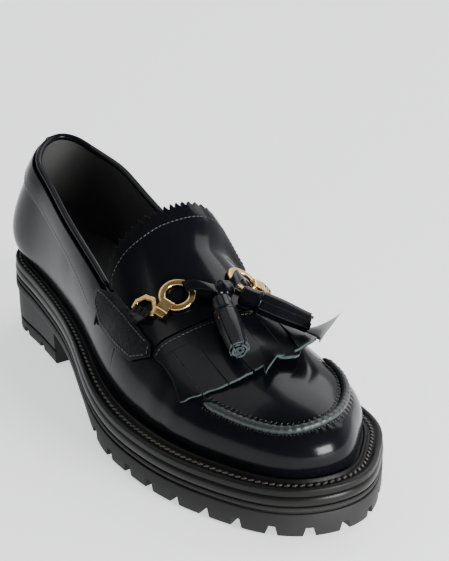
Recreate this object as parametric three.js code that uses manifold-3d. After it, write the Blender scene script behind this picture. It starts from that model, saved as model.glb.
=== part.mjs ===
// Fringed tassel loafer, right foot, in millimetres.
// X runs from heel to toe, Y to the inner (medial) side, Z up.
// Every leather piece lies on one last surface, so a change of the last carries them all.
import * as THREE from "three";
import { mergeVertices } from "three/addons/utils/BufferGeometryUtils.js";
import Module from "manifold-3d";

const wasm = await Module();
wasm.setup();

// Last
const LAST_LENGTH = 256;
const BALL_WIDTH = 86;
const INSTEP_HEIGHT = 63.6;
const BACK_HEIGHT = 49.5;
const MEDIAL_RISE = 4;
const HEEL_STACK = 43.5;
const BALL_STACK = 22.8;
// way round the last, which a column share of 1 stands for
const COLUMN_RUN = LAST_LENGTH * 2.05;

// Leather
const WALL = 2.0;
const GAP = 0.3;
const BAND_THICK = 1.2;
const BAND_WIDTH = 12;
const BEAD_RADIUS = 1.5;
const BACKSTAY_WIDTH = 15;
const TAB_WIDTH = 9;
const SADDLE_THICK = 1.4;
const TONGUE_THICK = 1.6;
const KILTIE_THICK = 1.5;
const PINK_DEPTH = 1.8;
const TONGUE_FLARE = 8.5;
const RIDGE_WIDTH = 4.4;
const RIDGE_HEIGHT = 2.6;

// Sole
const INSOLE_THICK = 3.2;
const WELT_THICK = 3.6;
const WELT_EDGE = 9.8;
const WELT_INNER = 6;
const MIDSOLE_THICK = 5.0;
const OUTSOLE_EDGE = 10.4;
const WAIST_SHARE = 0.52;
const SLAB_THICK = 7.5;
const GROOVE_DEPTH = 1.3;
const TOE_SPRING = 1.4;
const LUG_DEPTH = 5.0;
const NOTCH_WIDTH = 4.2;
const NOTCH_REACH = 9;
const NOTCH_PITCH = 16.8;
const HEEL_LENGTH = 60.5;
const HEEL_SET_IN = 1.0;

// Metal
const RING_RADIUS = 8.7;
const RING_WIDTH = 3.3;
const RING_THICK = 1.8;
const DEE_WIDTH = 12.8;
const DEE_LENGTH = 7.6;
const DEE_BAR = 2.0;
const TAB_LENGTH = 6.5;
const CLASP_WIDTH = 6.2;
const CLASP_THICK = 1.2;

// Knot and tassels
const STRAP_WIDTH = 4.6;
const STRAP_THICK = 1.6;
const KNOT_WIDTH = 11;
const KNOT_LENGTH = 9;
const KNOT_HEIGHT = 6;
const TASSEL_RADIUS = 5.8;
const TASSEL_CAP = 10.5;
const STRIP_COUNT = 9;
const STRIP_THICK = 1.2;

// Round the last: heel back, outer side, toe, inner side.
// along and across are shares of length and ball width, rise is a share of the height,
// bulge is a share of ball width, reach is a share of the way to the top line.
const GIRTH = [
  { along: 0.000, across: 0.110, rise: 0.25, bulge: 0.356, reach: 0.16 },
  { along: 0.033, across: -0.170, rise: 0.15, bulge: 0.352, reach: -0.12 },
  { along: 0.120, across: -0.235, rise: 0.28, bulge: 0.150, reach: 0.06 },
  { along: 0.250, across: -0.285, rise: 0.36, bulge: 0.093, reach: 0.40 },
  { along: 0.380, across: -0.365, rise: 0.40, bulge: 0.093, reach: 0.46 },
  { along: 0.520, across: -0.475, rise: 0.50, bulge: 0.081, reach: 0.52 },
  { along: 0.650, across: -0.511, rise: 0.62, bulge: 0.058, reach: 0.56 },
  { along: 0.770, across: -0.488, rise: 0.70, bulge: 0.047, reach: 0.60 },
  { along: 0.875, across: -0.393, rise: 0.74, bulge: 0.041, reach: 0.62 },
  { along: 0.975, across: -0.225, rise: 0.76, bulge: 0.035, reach: 0.64 },
  { along: 1.004, across: 0.050, rise: 0.76, bulge: 0.035, reach: 0.64 },
  { along: 0.958, across: 0.260, rise: 0.76, bulge: 0.035, reach: 0.64 },
  { along: 0.890, across: 0.425, rise: 0.74, bulge: 0.041, reach: 0.62 },
  { along: 0.790, across: 0.475, rise: 0.70, bulge: 0.047, reach: 0.60 },
  { along: 0.680, across: 0.470, rise: 0.64, bulge: 0.058, reach: 0.58 },
  { along: 0.550, across: 0.400, rise: 0.56, bulge: 0.093, reach: 0.58 },
  { along: 0.420, across: 0.325, rise: 0.40, bulge: 0.081, reach: 0.47 },
  { along: 0.290, across: 0.325, rise: 0.29, bulge: 0.035, reach: 0.34 },
  { along: 0.150, across: 0.385, rise: 0.27, bulge: 0.000, reach: 0.12 },
  { along: 0.040, across: 0.320, rise: 0.32, bulge: 0.075, reach: 0.10 },
];

// Top line of the last: height over the feather line in instep heights, offset in ball widths.
const CREST = [
  { along: 0.14, height: 1.775, across: 0.160 },
  { along: 0.28, height: 1.615, across: 0.100 },
  { along: 0.40, height: 1.267, across: 0.070 },
  { along: 0.50, height: 1.000, across: 0.068 },
  { along: 0.60, height: 0.811, across: 0.058 },
  { along: 0.70, height: 0.638, across: 0.040 },
  { along: 0.78, height: 0.531, across: 0.032 },
  { along: 0.84, height: 0.480, across: 0.030 },
  { along: 0.90, height: 0.440, across: 0.030 },
];

// Feather line: share of the heel's lift over the ball.
const FEATHER = [
  { along: 0.00, lift: 1.000 },
  { along: 0.12, lift: 0.800 },
  { along: 0.25, lift: 0.640 },
  { along: 0.38, lift: 0.455 },
  { along: 0.50, lift: 0.215 },
  { along: 0.60, lift: 0.035 },
  { along: 0.70, lift: 0.000 },
  { along: 0.80, lift: 0.015 },
  { along: 0.90, lift: 0.040 },
  { along: 1.00, lift: 0.115 },
];

// Opening edge over the feather line, in back heights.
const TOPLINE = [
  { along: -0.10, height: 1.190 },
  { along: 0.00, height: 1.150 },
  { along: 0.060, height: 1.060 },
  { along: 0.176, height: 0.970 },
  { along: 0.352, height: 0.826 },
  { along: 0.500, height: 0.725 },
  { along: 0.540, height: 0.730 },
  { along: 0.565, height: 1.150 },
  { along: 0.590, height: 2.600 },
];

const BACK_POLE = 0.16;
const TOE_POLE = 0.82;
const POLE_SOFT = 0.04;

// Natural cubic through the rows of a table
function cubic(xs, ys) {
  const n = xs.length;
  const h = xs.slice(1).map((x, i) => x - xs[i]);
  const m = new Array(n).fill(0);
  const c = new Array(n).fill(0);
  const d = new Array(n).fill(0);
  for (let i = 1; i < n - 1; i++) {
    const r = 6 * ((ys[i + 1] - ys[i]) / h[i] - (ys[i] - ys[i - 1]) / h[i - 1]);
    const p = 2 * (h[i - 1] + h[i]) - h[i - 1] * c[i - 1];
    c[i] = h[i] / p;
    d[i] = (r - h[i - 1] * d[i - 1]) / p;
  }
  for (let i = n - 2; i > 0; i--) m[i] = d[i] - c[i] * m[i + 1];
  const at = (q) => {
    let i = 0;
    while (i < n - 2 && q > xs[i + 1]) i++;
    const a = (xs[i + 1] - q) / h[i];
    const b = (q - xs[i]) / h[i];
    const s = (a ** 3 - a) * m[i] + (b ** 3 - b) * m[i + 1];
    return a * ys[i] + b * ys[i + 1] + s * h[i] * h[i] / 6;
  };
  // straight on outside the table
  return (q) => {
    const e = 1e-4;
    if (q < xs[0]) return at(xs[0]) + (q - xs[0]) * (at(xs[0] + e) - at(xs[0])) / e;
    const z = xs[n - 1];
    if (q > z) return at(z) + (q - z) * (at(z) - at(z - e)) / e;
    return at(q);
  };
}

function tableCurve(rows, key, name) {
  return cubic(rows.map((r) => r[key]), rows.map((r) => r[name]));
}

// Closed table: the rows repeat past both ends
function roundCurve(name) {
  const n = GIRTH.length;
  const xs = [];
  const ys = [];
  for (let k = -8; k <= n + 8; k++) {
    xs.push(k / n);
    ys.push(GIRTH[((k % n) + n) % n][name]);
  }
  const f = cubic(xs, ys);
  return (u) => f(((u % 1) + 1) % 1);
}

const alongAt = roundCurve("along");
const acrossAt = roundCurve("across");
const riseAt = roundCurve("rise");
const bulgeAt = roundCurve("bulge");
const reachAt = roundCurve("reach");
const crestHeight = tableCurve(CREST, "along", "height");
const crestAcross = tableCurve(CREST, "along", "across");
const featherLift = tableCurve(FEATHER, "along", "lift");

const mix = (a, b, s) => a + (b - a) * s;
const clamp = (x, lo, hi) => Math.min(Math.max(x, lo), hi);
const smooth = (x, lo, hi) => {
  const s = clamp((x - lo) / (hi - lo), 0, 1);
  return s * s * (3 - 2 * s);
};

function footHeight(x) {
  return BALL_STACK + (HEEL_STACK - BALL_STACK) * featherLift(x / LAST_LENGTH);
}

function crest(a) {
  return footHeight(a * LAST_LENGTH) + INSTEP_HEIGHT * crestHeight(a);
}

// Height of the opening edge at x, straight between the rows
function toplineHeight(x) {
  const a = x / LAST_LENGTH;
  let i = 0;
  while (i < TOPLINE.length - 2 && a > TOPLINE[i + 1].along) i++;
  const p = TOPLINE[i];
  const q = TOPLINE[i + 1];
  const s = (a - p.along) / (q.along - p.along);
  return footHeight(x) + BACK_HEIGHT * mix(p.height, q.height, s);
}

// Feather outline at share u round the last, moved out in plan
function foot(u, out = 0) {
  const e = 1e-3;
  const x = alongAt(u) * LAST_LENGTH;
  const y = acrossAt(u) * BALL_WIDTH;
  const dx = (alongAt(u + e) - alongAt(u - e)) * LAST_LENGTH;
  const dy = (acrossAt(u + e) - acrossAt(u - e)) * BALL_WIDTH;
  const n = Math.hypot(dx, dy);
  return [x + dy / n * out, y - dx / n * out, x];
}

function softClamp(x) {
  const low = BACK_POLE + POLE_SOFT * Math.log1p(Math.exp((x - BACK_POLE) / POLE_SOFT));
  return TOE_POLE - POLE_SOFT * Math.log1p(Math.exp((TOE_POLE - low) / POLE_SOFT));
}

function station(u) {
  return softClamp((alongAt(u) + alongAt(1 - u)) / 2);
}

// Point of the last at share u round and t up, from the feather line to the crest
function lastPoint(u, t) {
  const [fx, fy] = foot(u);
  const fz = footHeight(fx);
  const a = station(u);
  const tx = a * LAST_LENGTH;
  const ty = crestAcross(a) * BALL_WIDTH;
  const tz = crest(a);
  const slope = (crest(a + 1e-3) - crest(a - 1e-3)) / (2e-3 * LAST_LENGTH);
  const d = Math.hypot(fx - tx, fy - ty);
  const ux = (fx - tx) / d;
  const uy = (fy - ty) / d;
  const b = bulgeAt(u) * BALL_WIDTH;
  const r = reachAt(u) * d;
  const w = [(1 - t) ** 3, 3 * (1 - t) ** 2 * t, 3 * (1 - t) * t * t, t ** 3];
  const px = [fx, fx + ux * b, tx + ux * r, tx];
  const py = [fy, fy + uy * b, ty + uy * r, ty];
  const pz = [fz, fz + riseAt(u) * (tz - fz), tz + slope * ux * r, tz];
  const sum = (p) => w[0] * p[0] + w[1] * p[1] + w[2] * p[2] + w[3] * p[3];
  return new THREE.Vector3(sum(px), sum(py), sum(pz));
}

function lastNormal(u, t) {
  const e = 1e-3;
  if (t > 0.995) {
    const a = station(u);
    const slope = (crest(a + e) - crest(a - e)) / (2 * e * LAST_LENGTH);
    return new THREE.Vector3(-slope, 0, 1).normalize();
  }
  const du = lastPoint(u + e, t).sub(lastPoint(u - e, t));
  const dt = lastPoint(u, t + e).sub(lastPoint(u, Math.max(t - e, 0)));
  return du.cross(dt).normalize();
}

function onLast(u, t, lift = 0) {
  return lastPoint(u, t).addScaledVector(lastNormal(u, t), lift);
}

// The same surface by column c (0 heel to 0.5 toe) and cross v (-1 outer to 1 inner side)
function skin(c, v, lift = 0) {
  return v < 0 ? onLast(c, 1 + v, lift) : onLast(1 - c, 1 - v, lift);
}

function skinNormal(c, v) {
  return v < 0 ? lastNormal(c, 1 + v) : lastNormal(1 - c, 1 - v);
}

// Column whose crest station is a
function columnAt(a) {
  let lo = 0;
  let hi = 0.5;
  for (let i = 0; i < 40; i++) {
    const m = (lo + hi) / 2;
    if ((alongAt(m) + alongAt(1 - m)) / 2 < a) lo = m;
    else hi = m;
  }
  return (lo + hi) / 2;
}

// First t where column u reaches the opening edge less a drop, or 1 where it is closed
function openingAt(u, drop = 0) {
  const inner = u - Math.floor(u) > 0.5;
  const rise = inner ? MEDIAL_RISE * smooth(alongAt(u), 0.02, 0.2) : 0;
  const over = (t) => {
    const p = lastPoint(u, t);
    return p.z > toplineHeight(p.x) + rise - drop;
  };
  const n = 60;
  for (let k = 1; k <= n; k++) {
    if (!over(k / n)) continue;
    let lo = (k - 1) / n;
    let hi = k / n;
    for (let i = 0; i < 30; i++) {
      const m = (lo + hi) / 2;
      if (over(m)) hi = m;
      else lo = m;
    }
    return (lo + hi) / 2;
  }
  return 1;
}

// Triangles are collected, then shared corners merge and flat ones drop out
class Soup {
  constructor() {
    this.list = [];
  }

  tri(a, b, c) {
    this.list.push(a, b, c);
  }

  quad(a, b, c, d) {
    this.tri(a, b, c);
    this.tri(a, c, d);
  }

  geometry() {
    const ids = new Map();
    const points = [];
    const index = [];
    const id = (p) => {
      const key = [p.x, p.y, p.z].map((q) => Math.round(q * 500)).join();
      if (!ids.has(key)) {
        ids.set(key, points.length / 3);
        points.push(p.x, p.y, p.z);
      }
      return ids.get(key);
    };
    for (let i = 0; i < this.list.length; i += 3) {
      const [a, b, c] = [id(this.list[i]), id(this.list[i + 1]), id(this.list[i + 2])];
      if (a !== b && b !== c && c !== a) index.push(a, b, c);
    }
    const g = new THREE.BufferGeometry();
    g.setAttribute("position", new THREE.Float32BufferAttribute(points, 3));
    g.setIndex(index);
    return g;
  }
}

// Sheet between two grids of points: rows i, columns j, keep(i, j) leaves cells out
function sheet(inner, outer, keep = () => true) {
  const s = new Soup();
  const n = inner.length - 1;
  const m = inner[0].length - 1;
  const has = (i, j) => i >= 0 && j >= 0 && i < n && j < m && keep(i, j);
  for (let i = 0; i < n; i++) {
    for (let j = 0; j < m; j++) {
      if (!has(i, j)) continue;
      const [a, b, c, d] = [[i, j], [i + 1, j], [i + 1, j + 1], [i, j + 1]];
      const o = [a, b, c, d].map(([p, q]) => outer[p][q]);
      const k = [a, b, c, d].map(([p, q]) => inner[p][q]);
      s.quad(o[0], o[1], o[2], o[3]);
      s.quad(k[3], k[2], k[1], k[0]);
      const wall = (p, q) => s.quad(k[p], k[q], o[q], o[p]);
      if (!has(i, j - 1)) wall(0, 1);
      if (!has(i + 1, j)) wall(1, 2);
      if (!has(i, j + 1)) wall(2, 3);
      if (!has(i - 1, j)) wall(3, 0);
    }
  }
  return s.geometry();
}

function grid(rows, cols, f) {
  const out = [];
  for (let i = 0; i <= rows; i++) {
    out.push([]);
    for (let j = 0; j <= cols; j++) out[i].push(f(i / rows, j / cols, i, j));
  }
  return out;
}

// Bar of one section along a line of frames, with flat ends or closed on itself
function sweep(sections, closed = false) {
  const s = new Soup();
  const n = sections.length;
  const m = sections[0].length;
  for (let i = 0; i < (closed ? n : n - 1); i++) {
    const p = sections[i];
    const q = sections[(i + 1) % n];
    for (let j = 0; j < m; j++) {
      const k = (j + 1) % m;
      s.quad(p[j], q[j], q[k], p[k]);
    }
  }
  if (!closed) {
    const a = sections[0];
    const b = sections[n - 1];
    for (let j = 1; j < m - 1; j++) {
      s.tri(a[0], a[j], a[j + 1]);
      s.tri(b[0], b[j + 1], b[j]);
    }
  }
  return s.geometry();
}

// Stack of closed outlines from bottom to top, capped by rungs from side to side
function stack(rings) {
  const s = new Soup();
  const n = rings[0].length;
  for (let k = 0; k < rings.length - 1; k++) {
    for (let i = 0; i < n; i++) {
      const j = (i + 1) % n;
      s.quad(rings[k][i], rings[k][j], rings[k + 1][j], rings[k + 1][i]);
    }
  }
  const cap = (r, up) => {
    for (let i = 0; i < n / 2; i++) {
      const [a, b] = [r[i], r[i + 1]];
      const [c, d] = [r[(n - i) % n], r[n - i - 1]];
      if (up) {
        s.tri(a, b, c);
        s.tri(b, d, c);
      } else {
        s.tri(a, c, b);
        s.tri(b, c, d);
      }
    }
  };
  cap(rings[0], false);
  cap(rings[rings.length - 1], true);
  return s.geometry();
}

// Bare, merged and with its faces pointing out
function outward(source) {
  const bare = new THREE.BufferGeometry();
  bare.setAttribute("position", source.attributes.position.clone());
  if (source.index) bare.setIndex(Array.from(source.index.array));
  const g = mergeVertices(bare, 1e-4);
  const p = g.attributes.position;
  const ix = g.index.array;
  let v = 0;
  const [a, b, c] = [new THREE.Vector3(), new THREE.Vector3(), new THREE.Vector3()];
  for (let i = 0; i < ix.length; i += 3) {
    a.fromBufferAttribute(p, ix[i]);
    b.fromBufferAttribute(p, ix[i + 1]);
    c.fromBufferAttribute(p, ix[i + 2]);
    v += a.dot(b.clone().cross(c));
  }
  if (v < 0) {
    const flipped = Array.from(ix);
    for (let i = 0; i < flipped.length; i += 3) {
      [flipped[i + 1], flipped[i + 2]] = [flipped[i + 2], flipped[i + 1]];
    }
    g.setIndex(flipped);
  }
  return g;
}

function solid(g) {
  const merged = outward(g);
  return new wasm.Manifold(new wasm.Mesh({
    numProp: 3,
    vertProperties: new Float32Array(merged.attributes.position.array),
    triVerts: new Uint32Array(merged.index.array),
  }));
}

function fromSolid(m) {
  const mesh = m.getMesh();
  const g = new THREE.BufferGeometry();
  g.setAttribute("position", new THREE.Float32BufferAttribute(mesh.vertProperties, 3));
  g.setIndex(Array.from(mesh.triVerts));
  return g;
}

function cutBy(g, tools) {
  let m = solid(g);
  for (const t of tools) m = m.subtract(solid(t));
  return fromSolid(m);
}

function joined(list) {
  let m = solid(list[0]);
  for (const g of list.slice(1)) m = m.add(solid(g));
  return fromSolid(m);
}

const shoe = new THREE.Group();
const looks = {
  polished: { color: 0x0b0c0e, roughness: 0.22, metalness: 0 },
  grained: { color: 0x111215, roughness: 0.5, metalness: 0 },
  lining: { color: 0x0c0c0e, roughness: 0.6, metalness: 0 },
  rubber: { color: 0x1c1c1d, roughness: 0.75, metalness: 0 },
  edge: { color: 0x1d2a2b, roughness: 0.7, metalness: 0 },
  gold: { color: 0xcfa050, roughness: 0.25, metalness: 1 },
};

function add(name, geometry, look) {
  const mesh = new THREE.Mesh(outward(geometry), new THREE.MeshStandardMaterial(looks[look]));
  mesh.name = name;
  shoe.add(mesh);
  return mesh;
}

// Upper: one shell round the last, open at the collar and underneath
const COLUMNS = [];
for (let k = 0; k <= 26; k++) COLUMNS.push(0.5 * k / 26);
const throatStart = columnAt(TOPLINE[6].along);
const throatEnd = columnAt(TOPLINE[8].along);
for (let k = 0; k <= 4; k++) COLUMNS.push(mix(throatStart, throatEnd, k / 4));
COLUMNS.sort((a, b) => a - b);
const spaced = COLUMNS.filter((c, i) => i === 0 || c - COLUMNS[i - 1] > 0.002);

function makeUpper() {
  const rows = 8;
  const around = [...spaced, ...spaced.slice(1, -1).reverse().map((c) => 1 - c)];
  const tops = around.map((u) => openingAt(u));
  const outer = around.map((u, k) => grid(rows, 0, (s) => lastPoint(u, tops[k] * s)).map((r) => r[0]));
  const inner = around.map((u, k) => grid(rows, 0, (s) => onLast(u, tops[k] * s, -WALL)).map((r) => r[0]));
  const s = new Soup();
  const n = around.length;
  // a column is closed where it and its mirror column both run up to the crest
  const closed = (k) => tops[k] === 1 && tops[(n - k) % n] === 1;
  for (let k = 0; k < n; k++) {
    const q = (k + 1) % n;
    for (let i = 0; i < rows; i++) {
      s.quad(outer[k][i], outer[q][i], outer[q][i + 1], outer[k][i + 1]);
      s.quad(inner[k][i + 1], inner[q][i + 1], inner[q][i], inner[k][i]);
    }
    s.quad(inner[k][0], inner[q][0], outer[q][0], outer[k][0]);
    if (!closed(k) || !closed(q)) {
      s.quad(outer[k][rows], outer[q][rows], inner[q][rows], inner[k][rows]);
    }
  }
  return s.geometry();
}
add("upper", makeUpper(), "polished");

// Sole outline: full edge at the forefoot, narrower at waist and heel
function edgeShare(x) {
  return mix(WAIST_SHARE, 1, smooth(x / LAST_LENGTH, 0.22, 0.66));
}

const SOLE_STATIONS = 64;

function soleRing(edge, height, inward = 0) {
  const out = [];
  for (let k = 0; k < SOLE_STATIONS; k++) {
    const u = k / SOLE_STATIONS;
    const x0 = foot(u)[0];
    const [x, y] = foot(u, edge * edgeShare(x0) - inward);
    out.push(new THREE.Vector3(x, y, height(x)));
  }
  return out;
}

const weltTop = (x) => footHeight(x) - GAP;
const weltBottom = (x) => weltTop(x) - WELT_THICK;
const midTop = (x) => weltBottom(x) - GAP;
const midBottom = (x) => midTop(x) - MIDSOLE_THICK;
const outTop = (x) => midBottom(x) - GAP;

// Welt: strip with a stitch channel and a raised lip
function makeWelt() {
  const profile = [
    { edge: 0, inward: WELT_INNER, drop: 0 },
    { edge: 0.24, inward: 0, drop: 0 },
    { edge: 0.34, inward: 0, drop: 0.9 },
    { edge: 0.68, inward: 0, drop: 0.9 },
    { edge: 0.80, inward: 0, drop: -0.1 },
    { edge: 1.00, inward: 0, drop: 0.7 },
    { edge: 0.98, inward: 0, drop: WELT_THICK },
    { edge: 0, inward: WELT_INNER, drop: WELT_THICK },
  ];
  const rings = profile.map((p) => soleRing(WELT_EDGE * p.edge, (x) => weltTop(x) - p.drop, p.inward));
  const sections = rings[0].map((_, i) => rings.map((r) => r[i]));
  return sweep(sections, true);
}
add("welt", makeWelt(), "rubber");

// Midsole: slab with a rounded side
function makeMidsole() {
  const side = [
    { share: 0, inward: 1.6 },
    { share: 0.3, inward: 0.2 },
    { share: 0.7, inward: 0 },
    { share: 1, inward: 1.0 },
  ];
  return stack(side.map((p) => {
    const z = (x) => mix(midBottom(x), midTop(x), p.share);
    return soleRing(OUTSOLE_EDGE, z, p.inward);
  }));
}
add("midsole", makeMidsole(), "rubber");

// Outsole: thin through waist and heel, down to the floor at the forefoot
const treadStart = 0.47;
const treadFull = 0.60;

function outsoleBottom(x) {
  const a = x / LAST_LENGTH;
  const slab = outTop(x) - SLAB_THICK;
  const spring = TOE_SPRING * clamp((a - 0.74) / 0.26, 0, 1.2) ** 2;
  return mix(slab, spring, smooth(a, treadStart, treadFull));
}

function boxAt(size, place, turn) {
  const g = new THREE.BoxGeometry(...size);
  g.rotateZ(turn);
  g.translate(...place);
  return g;
}

// Shares round the outline at which side notches sit, a pitch apart along the edge
function notchShares(from, to, pitch) {
  const out = [];
  let run = pitch / 2;
  let last = foot(from, OUTSOLE_EDGE);
  for (let u = from; u < to; u += 0.0005) {
    const p = foot(u, OUTSOLE_EDGE);
    run += Math.hypot(p[0] - last[0], p[1] - last[1]);
    last = p;
    if (run >= pitch) {
      out.push(u);
      run -= pitch;
    }
  }
  return out;
}

function notchBox(u, edge, reach, height, floor) {
  const e = 1e-3;
  const a = foot(u - e);
  const b = foot(u + e);
  const x0 = foot(u)[0];
  const [x, y] = foot(u, edge * edgeShare(x0) - reach / 2 + 2);
  const turn = Math.atan2(b[1] - a[1], b[0] - a[0]);
  return boxAt([NOTCH_WIDTH, reach + 4, height + 4], [x, y, floor + height / 2 - 2], turn);
}

function makeOutsole() {
  const side = [
    { from: "bottom", share: 0, inward: 0.7, drop: 0 },
    { from: "bottom", share: 0, inward: 0, drop: -0.9 },
    { from: "top", share: 0, inward: 0, drop: 3.4 },
    { from: "top", share: 0, inward: GROOVE_DEPTH, drop: 3.0 },
    { from: "top", share: 0, inward: GROOVE_DEPTH, drop: 1.8 },
    { from: "top", share: 0, inward: 0.1, drop: 1.4 },
    { from: "top", share: 0, inward: 0.5, drop: 0 },
  ];
  const body = stack(side.map((p) => {
    const z = (x) => (p.from === "top" ? outTop(x) : outsoleBottom(x)) - p.drop;
    return soleRing(OUTSOLE_EDGE, z, p.inward);
  }));
  const cuts = notchShares(0.25, 0.745, NOTCH_PITCH).map((u) => {
    return notchBox(u, OUTSOLE_EDGE, NOTCH_REACH, LUG_DEPTH, outsoleBottom(foot(u)[0]));
  });
  // cross channels between the middle lugs
  const lugLength = NOTCH_PITCH * 1.05;
  const from = LAST_LENGTH * 0.60;
  for (let k = 0; k < 6; k++) {
    const x = from + k * lugLength;
    const z = outsoleBottom(x) + LUG_DEPTH / 2 - 2;
    cuts.push(boxAt([NOTCH_WIDTH, BALL_WIDTH * 0.52, LUG_DEPTH + 4], [x, 0, z], 0));
  }
  return cutBy(body, cuts);
}
add("outsole", makeOutsole(), "rubber");

// Heel block: follows the slab above, flat on the floor, with a groove and lower notches
function makeHeel() {
  const count = 26;
  const breastA = (() => {
    let u = 0;
    while (foot(u)[0] < HEEL_LENGTH) u += 0.0005;
    return u;
  })();
  const breastB = (() => {
    let u = 1;
    while (foot(u)[0] < HEEL_LENGTH) u -= 0.0005;
    return u - 1;
  })();
  const top = (x) => outTop(x) - SLAB_THICK - GAP;
  const ring = (inward, z) => {
    const pts = [];
    for (let k = 0; k <= count; k++) {
      const u = mix(breastB, breastA, k / count);
      const x0 = foot(u)[0];
      const [x, y] = foot(u, OUTSOLE_EDGE * edgeShare(x0) - HEEL_SET_IN - inward);
      pts.push(new THREE.Vector3(x, y, z(x)));
    }
    // start in the middle of the back, so that the rungs run from side to side
    const half = count / 2;
    return [...pts.slice(half), ...pts.slice(0, half)];
  };
  const rings = [
    ring(1.4, () => 0),
    ring(0.9, () => 1.0),
    ring(0.6, () => 6.5),
    ring(1.6, () => 7.0),
    ring(1.6, () => 8.2),
    ring(0.4, () => 8.7),
    ring(0, (x) => top(x)),
  ];
  const body = stack(rings);
  const cuts = [];
  for (const u of [breastA - 0.028, breastA - 0.062, breastB + 0.028, breastB + 0.062]) {
    cuts.push(notchBox((u + 1) % 1, OUTSOLE_EDGE, 6, LUG_DEPTH * 0.8, 0));
  }
  return cutBy(body, cuts);
}
add("heel_block", makeHeel(), "rubber");

// Insole: full board inside the wall, resting over the welt's inner part
function makeInsole() {
  const inset = WALL + GAP + 0.6;
  return stack([0, 1].map((s) => {
    return soleRing(0, (x) => footHeight(x) + s * INSOLE_THICK, inset);
  }));
}
add("insole", makeInsole(), "lining");

// Collar band: strip below the opening edge
const bandEnd = 0.222;
const underBead = 0.8;

function bandShares(u, low) {
  const a = alongAt(u);
  const width = BAND_WIDTH * mix(1, 1.35, smooth(a, 0.25, 0.5));
  return openingAt(u, low ? width : underBead);
}

function makeBand() {
  const point = (lift) => grid(44, 2, (s, w) => {
    const u = mix(-bandEnd, bandEnd, s);
    return onLast(u, mix(bandShares(u, true), bandShares(u, false), w), lift);
  });
  return sheet(point(GAP), point(GAP + BAND_THICK));
}
add("collar_band", makeBand(), "polished");

// Rolled bead on the opening edge
function makeBead() {
  const sides = 6;
  const sections = [];
  const count = 44;
  for (let k = 0; k <= count; k++) {
    const u = mix(-bandEnd, bandEnd, k / count);
    const t = openingAt(u);
    const p = onLast(u, t, -WALL / 2);
    const out = lastNormal(u, t);
    const ahead = onLast(u + 1e-3, openingAt(u + 1e-3), 0);
    const run = ahead.sub(onLast(u - 1e-3, openingAt(u - 1e-3), 0)).normalize();
    const up = run.clone().cross(out).normalize();
    if (up.z < 0) up.negate();
    p.addScaledVector(up, BEAD_RADIUS + GAP);
    const ring = [];
    for (let j = 0; j < sides; j++) {
      const w = Math.PI * 2 * (j + 0.5) / sides;
      const q = p.clone().addScaledVector(out, Math.cos(w) * BEAD_RADIUS * 1.15);
      ring.push(q.addScaledVector(up, Math.sin(w) * BEAD_RADIUS));
    }
    sections.push(ring);
  }
  return sweep(sections);
}
add("collar_binding", makeBead(), "polished");

// Strip down the heel back, and the stitched tab over the band above it
function halfShare(width) {
  let u = 0;
  while (Math.hypot(foot(u)[0] - foot(0)[0], foot(u)[1] - foot(0)[1]) < width / 2) u += 0.0005;
  return u;
}

function makeBackstay() {
  const half = halfShare(BACKSTAY_WIDTH);
  const point = (lift) => grid(8, 4, (s, w) => {
    const u = mix(-half, half, w);
    const top = openingAt(u, BAND_WIDTH + 1);
    return onLast(u, mix(0.015, top, s), lift);
  });
  return sheet(point(GAP), point(GAP + BAND_THICK));
}
add("backstay", makeBackstay(), "polished");

function makeBackTab() {
  const half = halfShare(TAB_WIDTH);
  const low = 2 * GAP + BAND_THICK;
  const point = (lift) => grid(3, 2, (s, w) => {
    const u = mix(-half, half, w);
    return onLast(u, openingAt(u, mix(BAND_WIDTH + 1, underBead, s)), lift);
  });
  return sheet(point(low), point(low + BAND_THICK));
}
add("back_tab", makeBackTab(), "polished");

// Side saddles: corners by column and by share up, with the slot left out
const SADDLE_LOW = [
  { column: 0.2230, up: 0.345 },
  { column: 0.2400, up: 0.272 },
  { column: 0.2640, up: 0.283 },
  { column: 0.2830, up: 0.305 },
  { column: 0.2985, up: 0.425 },
];
const SADDLE_HIGH = [
  { column: 0.2235, up: 0.385 },
  { column: 0.2345, up: 0.430 },
  { column: 0.2560, up: 0.470 },
  { column: 0.2755, up: 0.480 },
  { column: 0.2925, up: 0.472 },
];
const tongueUp = 0.490;

function rowAt(rows, s) {
  const n = rows.length - 1;
  const i = Math.min(Math.floor(s * n), n - 1);
  const f = s * n - i;
  const mixRow = (k) => mix(rows[i][k], rows[i + 1][k], f);
  return { column: mixRow("column"), up: mixRow("up") };
}

function makeSaddle(side) {
  const point = (lift) => grid(12, 4, (s, w) => {
    const a = rowAt(SADDLE_LOW, s);
    const b = rowAt(SADDLE_HIGH, s);
    const u = mix(a.column, b.column, w);
    return skin(u, side * (1 - mix(a.up, b.up, w)), lift);
  });
  return sheet(point(GAP), point(GAP + SADDLE_THICK));
}
add("saddle_lateral", makeSaddle(-1), "grained");
add("saddle_medial", makeSaddle(1), "grained");

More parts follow.
